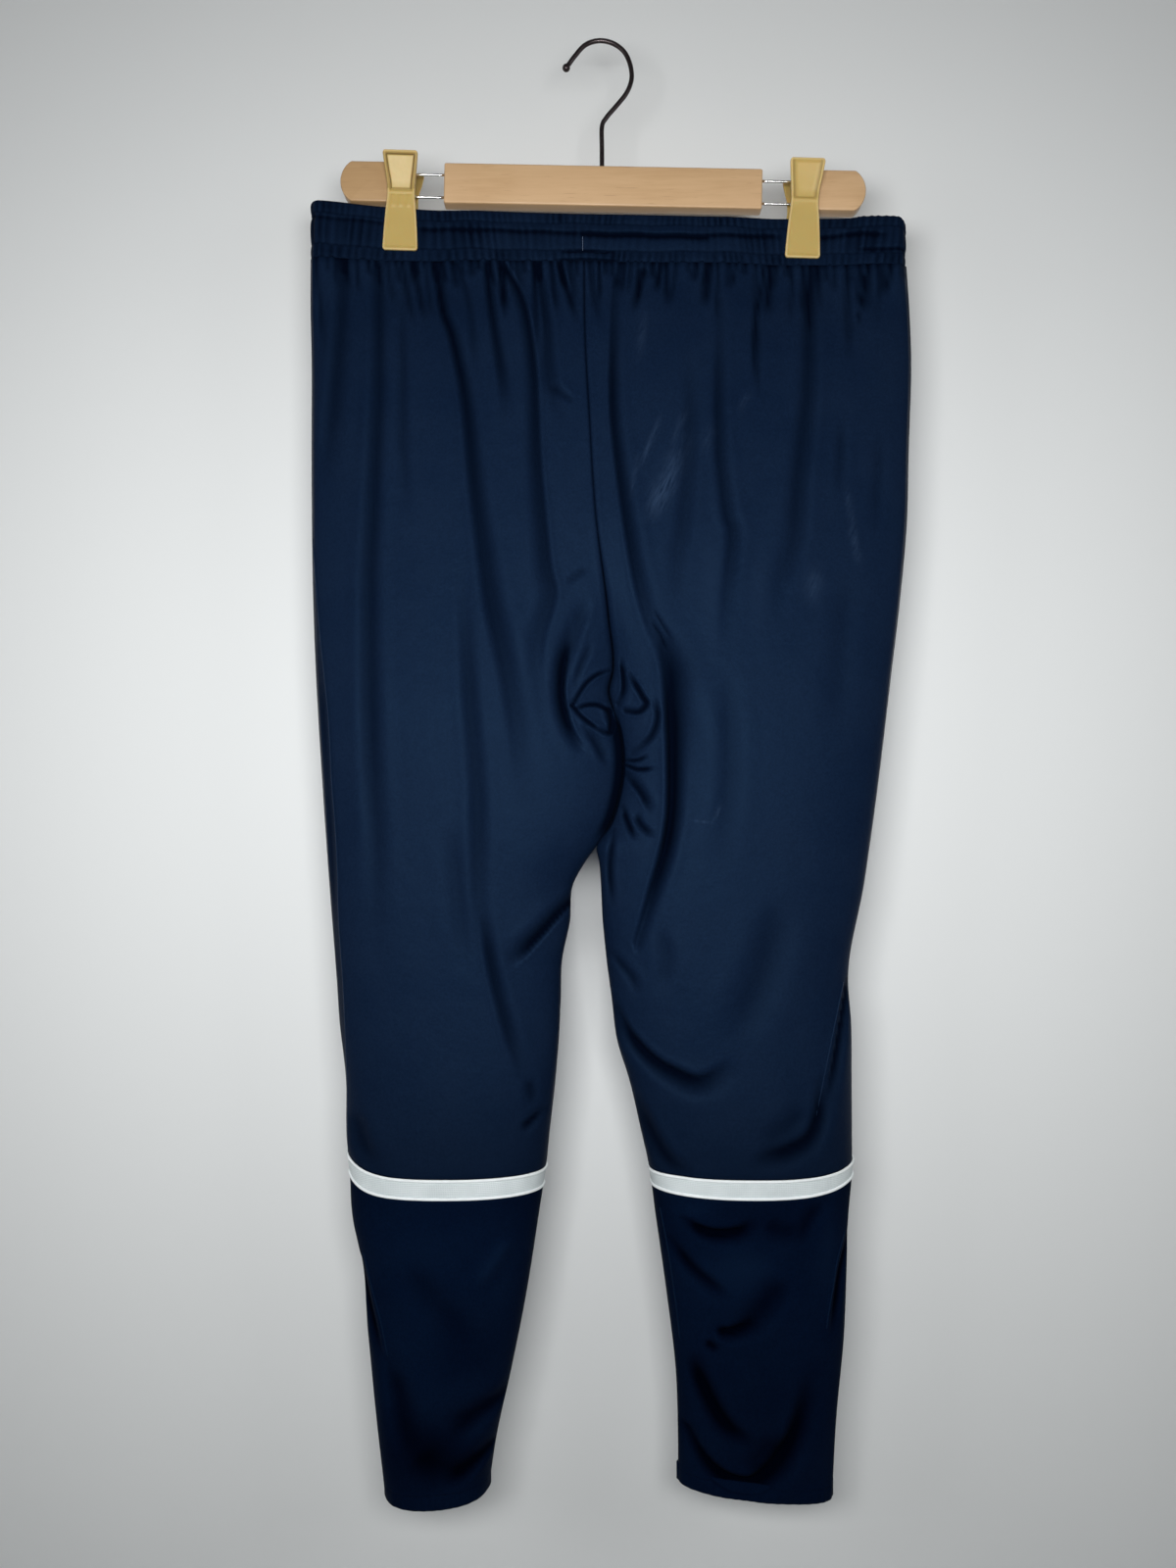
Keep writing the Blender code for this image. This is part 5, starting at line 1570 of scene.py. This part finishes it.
def ochre_finish(groups):
    """Moulded plastic, painted paler along the handle, with painted shade and highlights, and a
    little light let through.
    """
    made = Finish("ochre_plastic", groups, Subsurface_Weight=0.15, Subsurface_Scale=0.003)
    made.paint(Specular_IOR_Level=0.3)
    mottle, line = made.mottle(60.0, 700.0), made.mark("line")
    # painted light: darker low on the jaw, where it stands before the dark cloth, and paler up the
    # handle
    rise = made.fit(made.split(made.where())["Z"], -0.138, -0.112)
    base = made.mix(rise, (0.47, 0.335, 0.105, 1.0), (0.53, 0.375, 0.12, 1.0))
    patches = made.fit(mottle["Patches"], 0.35, 0.65, 0.5, 1.0)
    # painted highlight on the rims and the left pad, where the line mark is negative
    pale = made.math("MULTIPLY", made.fit(line, 0.0, -1.0), patches)
    base = made.mix(pale, base, (0.70, 0.55, 0.28, 1.0))
    # painted shade under the ridge, in the hollows and round the pad
    base = made.mix(made.fit(line, 0.0, 1.0), base, (0.17, 0.105, 0.03, 1.0))
    made.paint(Base_Color=base, Roughness=made.fit(mottle["Patches"], 0.3, 0.7, 0.42, 0.56))
    made.bump(mottle["Speckle"], 0.05, 0.15)
    return made.material


def metal_finish(name, groups, colour, worn, roughness, metallic):
    made = Finish(name, groups, Metallic=metallic)
    mottle = made.mottle(90.0, 1200.0)
    base = made.mix(made.fit(mottle["Patches"], 0.4, 0.7, 0.0, 0.5), colour, worn)
    rough = made.fit(mottle["Speckle"], 0.3, 0.7, roughness - 0.05, roughness + 0.08)
    made.paint(Base_Color=base, Roughness=rough)
    return made.material


# ---------------------------------------------------------------- studio
Softbox = namedtuple("Softbox", "name place target width height watts spread")
SOFTBOXES = table_of(
    Softbox,
    ("front_window", (-0.06, -1.02, -0.48), (0.0, 0.06, -0.49), 0.6, 0.22, 6.3, 130),
    ("right_fill", (1.1, -0.9, -0.2), (0.0, 0.0, -0.55), 0.5, 0.6, 0.9, 120),
    ("left_fill", (-1.1, -0.8, -0.4), (0.0, 0.0, -0.55), 0.5, 0.6, 1.0, 120),
    ("behind", (0.3, 1.9, 0.1), (0.0, 0.0, -0.55), 1.4, 1.4, 22.0, 180),
)


def wall_finish():
    """A pale wall that is clear when it is seen from behind."""
    made = Finish("pale_wall", Base_Color=(0.80, 0.82, 0.82, 1.0), Roughness=0.9)
    behind = made.put("ShaderNodeNewGeometry").outputs["Backfacing"]
    clear = made.put("ShaderNodeBsdfTransparent")
    either = {0: behind, 1: made.tree.nodes["Principled BSDF"], 2: clear}
    surface = made.tree.nodes["Material Output"].inputs["Surface"]
    made.feed(surface, made.put("ShaderNodeMixShader", either))
    return made.material


def studio():
    """A pale wall that curves into a pale floor, soft lights and the camera."""
    scene = bpy.context.scene
    profile = [(WALL_Y, WALL_TOP), (WALL_Y, FLOOR_Z + WALL_BEND)]
    for angle in np.arange(1, 12) / 12 * math.pi / 2:
        y = WALL_Y - WALL_BEND + WALL_BEND * math.cos(angle)
        profile.append((y, FLOOR_Z + WALL_BEND - WALL_BEND * math.sin(angle)))
    profile += [(WALL_Y - WALL_BEND, FLOOR_Z), (-WALL_REACH, FLOOR_Z)]
    points = np.array([[(x, y, z) for x in (-WALL_REACH, WALL_REACH)] for y, z in profile])
    backdrop = grid_piece("backdrop", points, wall_finish(), points[..., :2])
    backdrop.visible_shadow = False

    world = bpy.data.worlds.new("studio")
    world.use_nodes = True
    sky = world.node_tree.nodes["Background"].inputs
    sky["Color"].default_value = (0.93, 0.96, 1.0, 1.0)
    sky["Strength"].default_value = 0.05
    scene.world = world
    for box in SOFTBOXES:
        light = bpy.data.lights.new(box.name, "AREA")
        light.shape = "RECTANGLE"
        light.spread = math.radians(box.spread)
        light.size, light.size_y, light.energy = box.width, box.height, box.watts
        lamp = link(box.name, light)
        lamp.location = box.place
        aim = Vector(box.target) - Vector(box.place)
        lamp.rotation_euler = aim.to_track_quat("-Z", "Y").to_euler()

    camera = link("camera", bpy.data.cameras.new("camera"))
    camera.data.sensor_width = 36.0
    camera.data.sensor_height = 36.0
    camera.data.sensor_fit = "VERTICAL"
    camera.data.lens = 28.5
    camera.location = (-0.00825, -0.95, -0.567)
    camera.rotation_euler = (math.pi / 2, 0.0, 0.0)
    scene.camera = camera
    scene.view_settings.view_transform = "Standard"


# each knit: its colour, its speckle and painted fold shade colour, and its paler worn colour, also
# painted on ridges as a highlight
NAVY = ((0.0037, 0.0101, 0.0286, 1), (0.0001, 0.0007, 0.0042, 1), (0.0072, 0.0162, 0.039, 1))
DARK_NAVY = ((0.0014, 0.0055, 0.0195, 1), (0.0001, 0.0004, 0.0026, 1), (0.0034, 0.0105, 0.03, 1))
BRIGHT_STEEL = ((0.92, 0.91, 0.90, 1), (0.80, 0.78, 0.76, 1))
BROWN_STEEL = ((0.045, 0.034, 0.036, 1), (0.085, 0.068, 0.070, 1))


def main():
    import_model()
    rng = np.random.default_rng(7)
    studio()

    groups = {"mottle": mottle_group(), "knit": knit_group(), "streaks": streaks_group()}
    groups.update({"eyelets": eyelet_group(), "grain": grain_group()})
    navy = knit_finish("navy_knit", groups, *NAVY, 0.50, 1.16)
    dark_navy = knit_finish("dark_navy_knit", groups, *DARK_NAVY, 0.60, 1.06)
    white = mesh_finish(groups)
    piping = plain_cloth("white_piping", groups, (0.90, 0.95, 0.96, 1.0), 0.7)
    navy_thread = plain_cloth("navy_thread", groups, (0.0008, 0.003, 0.012, 1.0), 0.8, 0.03)
    pale_thread = plain_cloth("pale_thread", groups, (0.13, 0.17, 0.25, 1.0), 0.6)
    beech = beech_finish(groups)
    ochre = ochre_finish(groups)
    bright_steel = metal_finish("bright_steel", groups, *BRIGHT_STEEL, 0.2, 1.0)
    brown_steel = metal_finish("brown_steel", groups, *BROWN_STEEL, 0.24, 0.7)

    hanger_wood(beech)
    hanger_wires(bright_steel)
    for side in WAY:
        for face in OUT:
            clip_lever(side, face, ochre)
        bpy.data.objects[f"clip_{side}_spring"].data.materials[0] = ochre
        clip_coil(side, bright_steel)
    hook(brown_steel)

    waistband(navy, rng)
    for face in OUT:
        for side in WAY:
            upper_panel(face, side, navy, rng)
    for side in WAY:
        calf_band(side, white, piping)
    for face in OUT:
        for side in WAY:
            calf_panel(face, side, dark_navy)

    tree = stitch_tree()
    hems = [hem_line(side, face) for side in WAY for face in OUT]
    stitching("hem_stitches", tree, hems, navy_thread)
    tack = [(TACK_X, -WAIST_DEPTH - 0.1, -drop) for drop in np.linspace(*TACK_DROPS, 6)]
    stitching("label_stitches", tree, [np.array(tack)], pale_thread, 1.1, 1.3)


main()
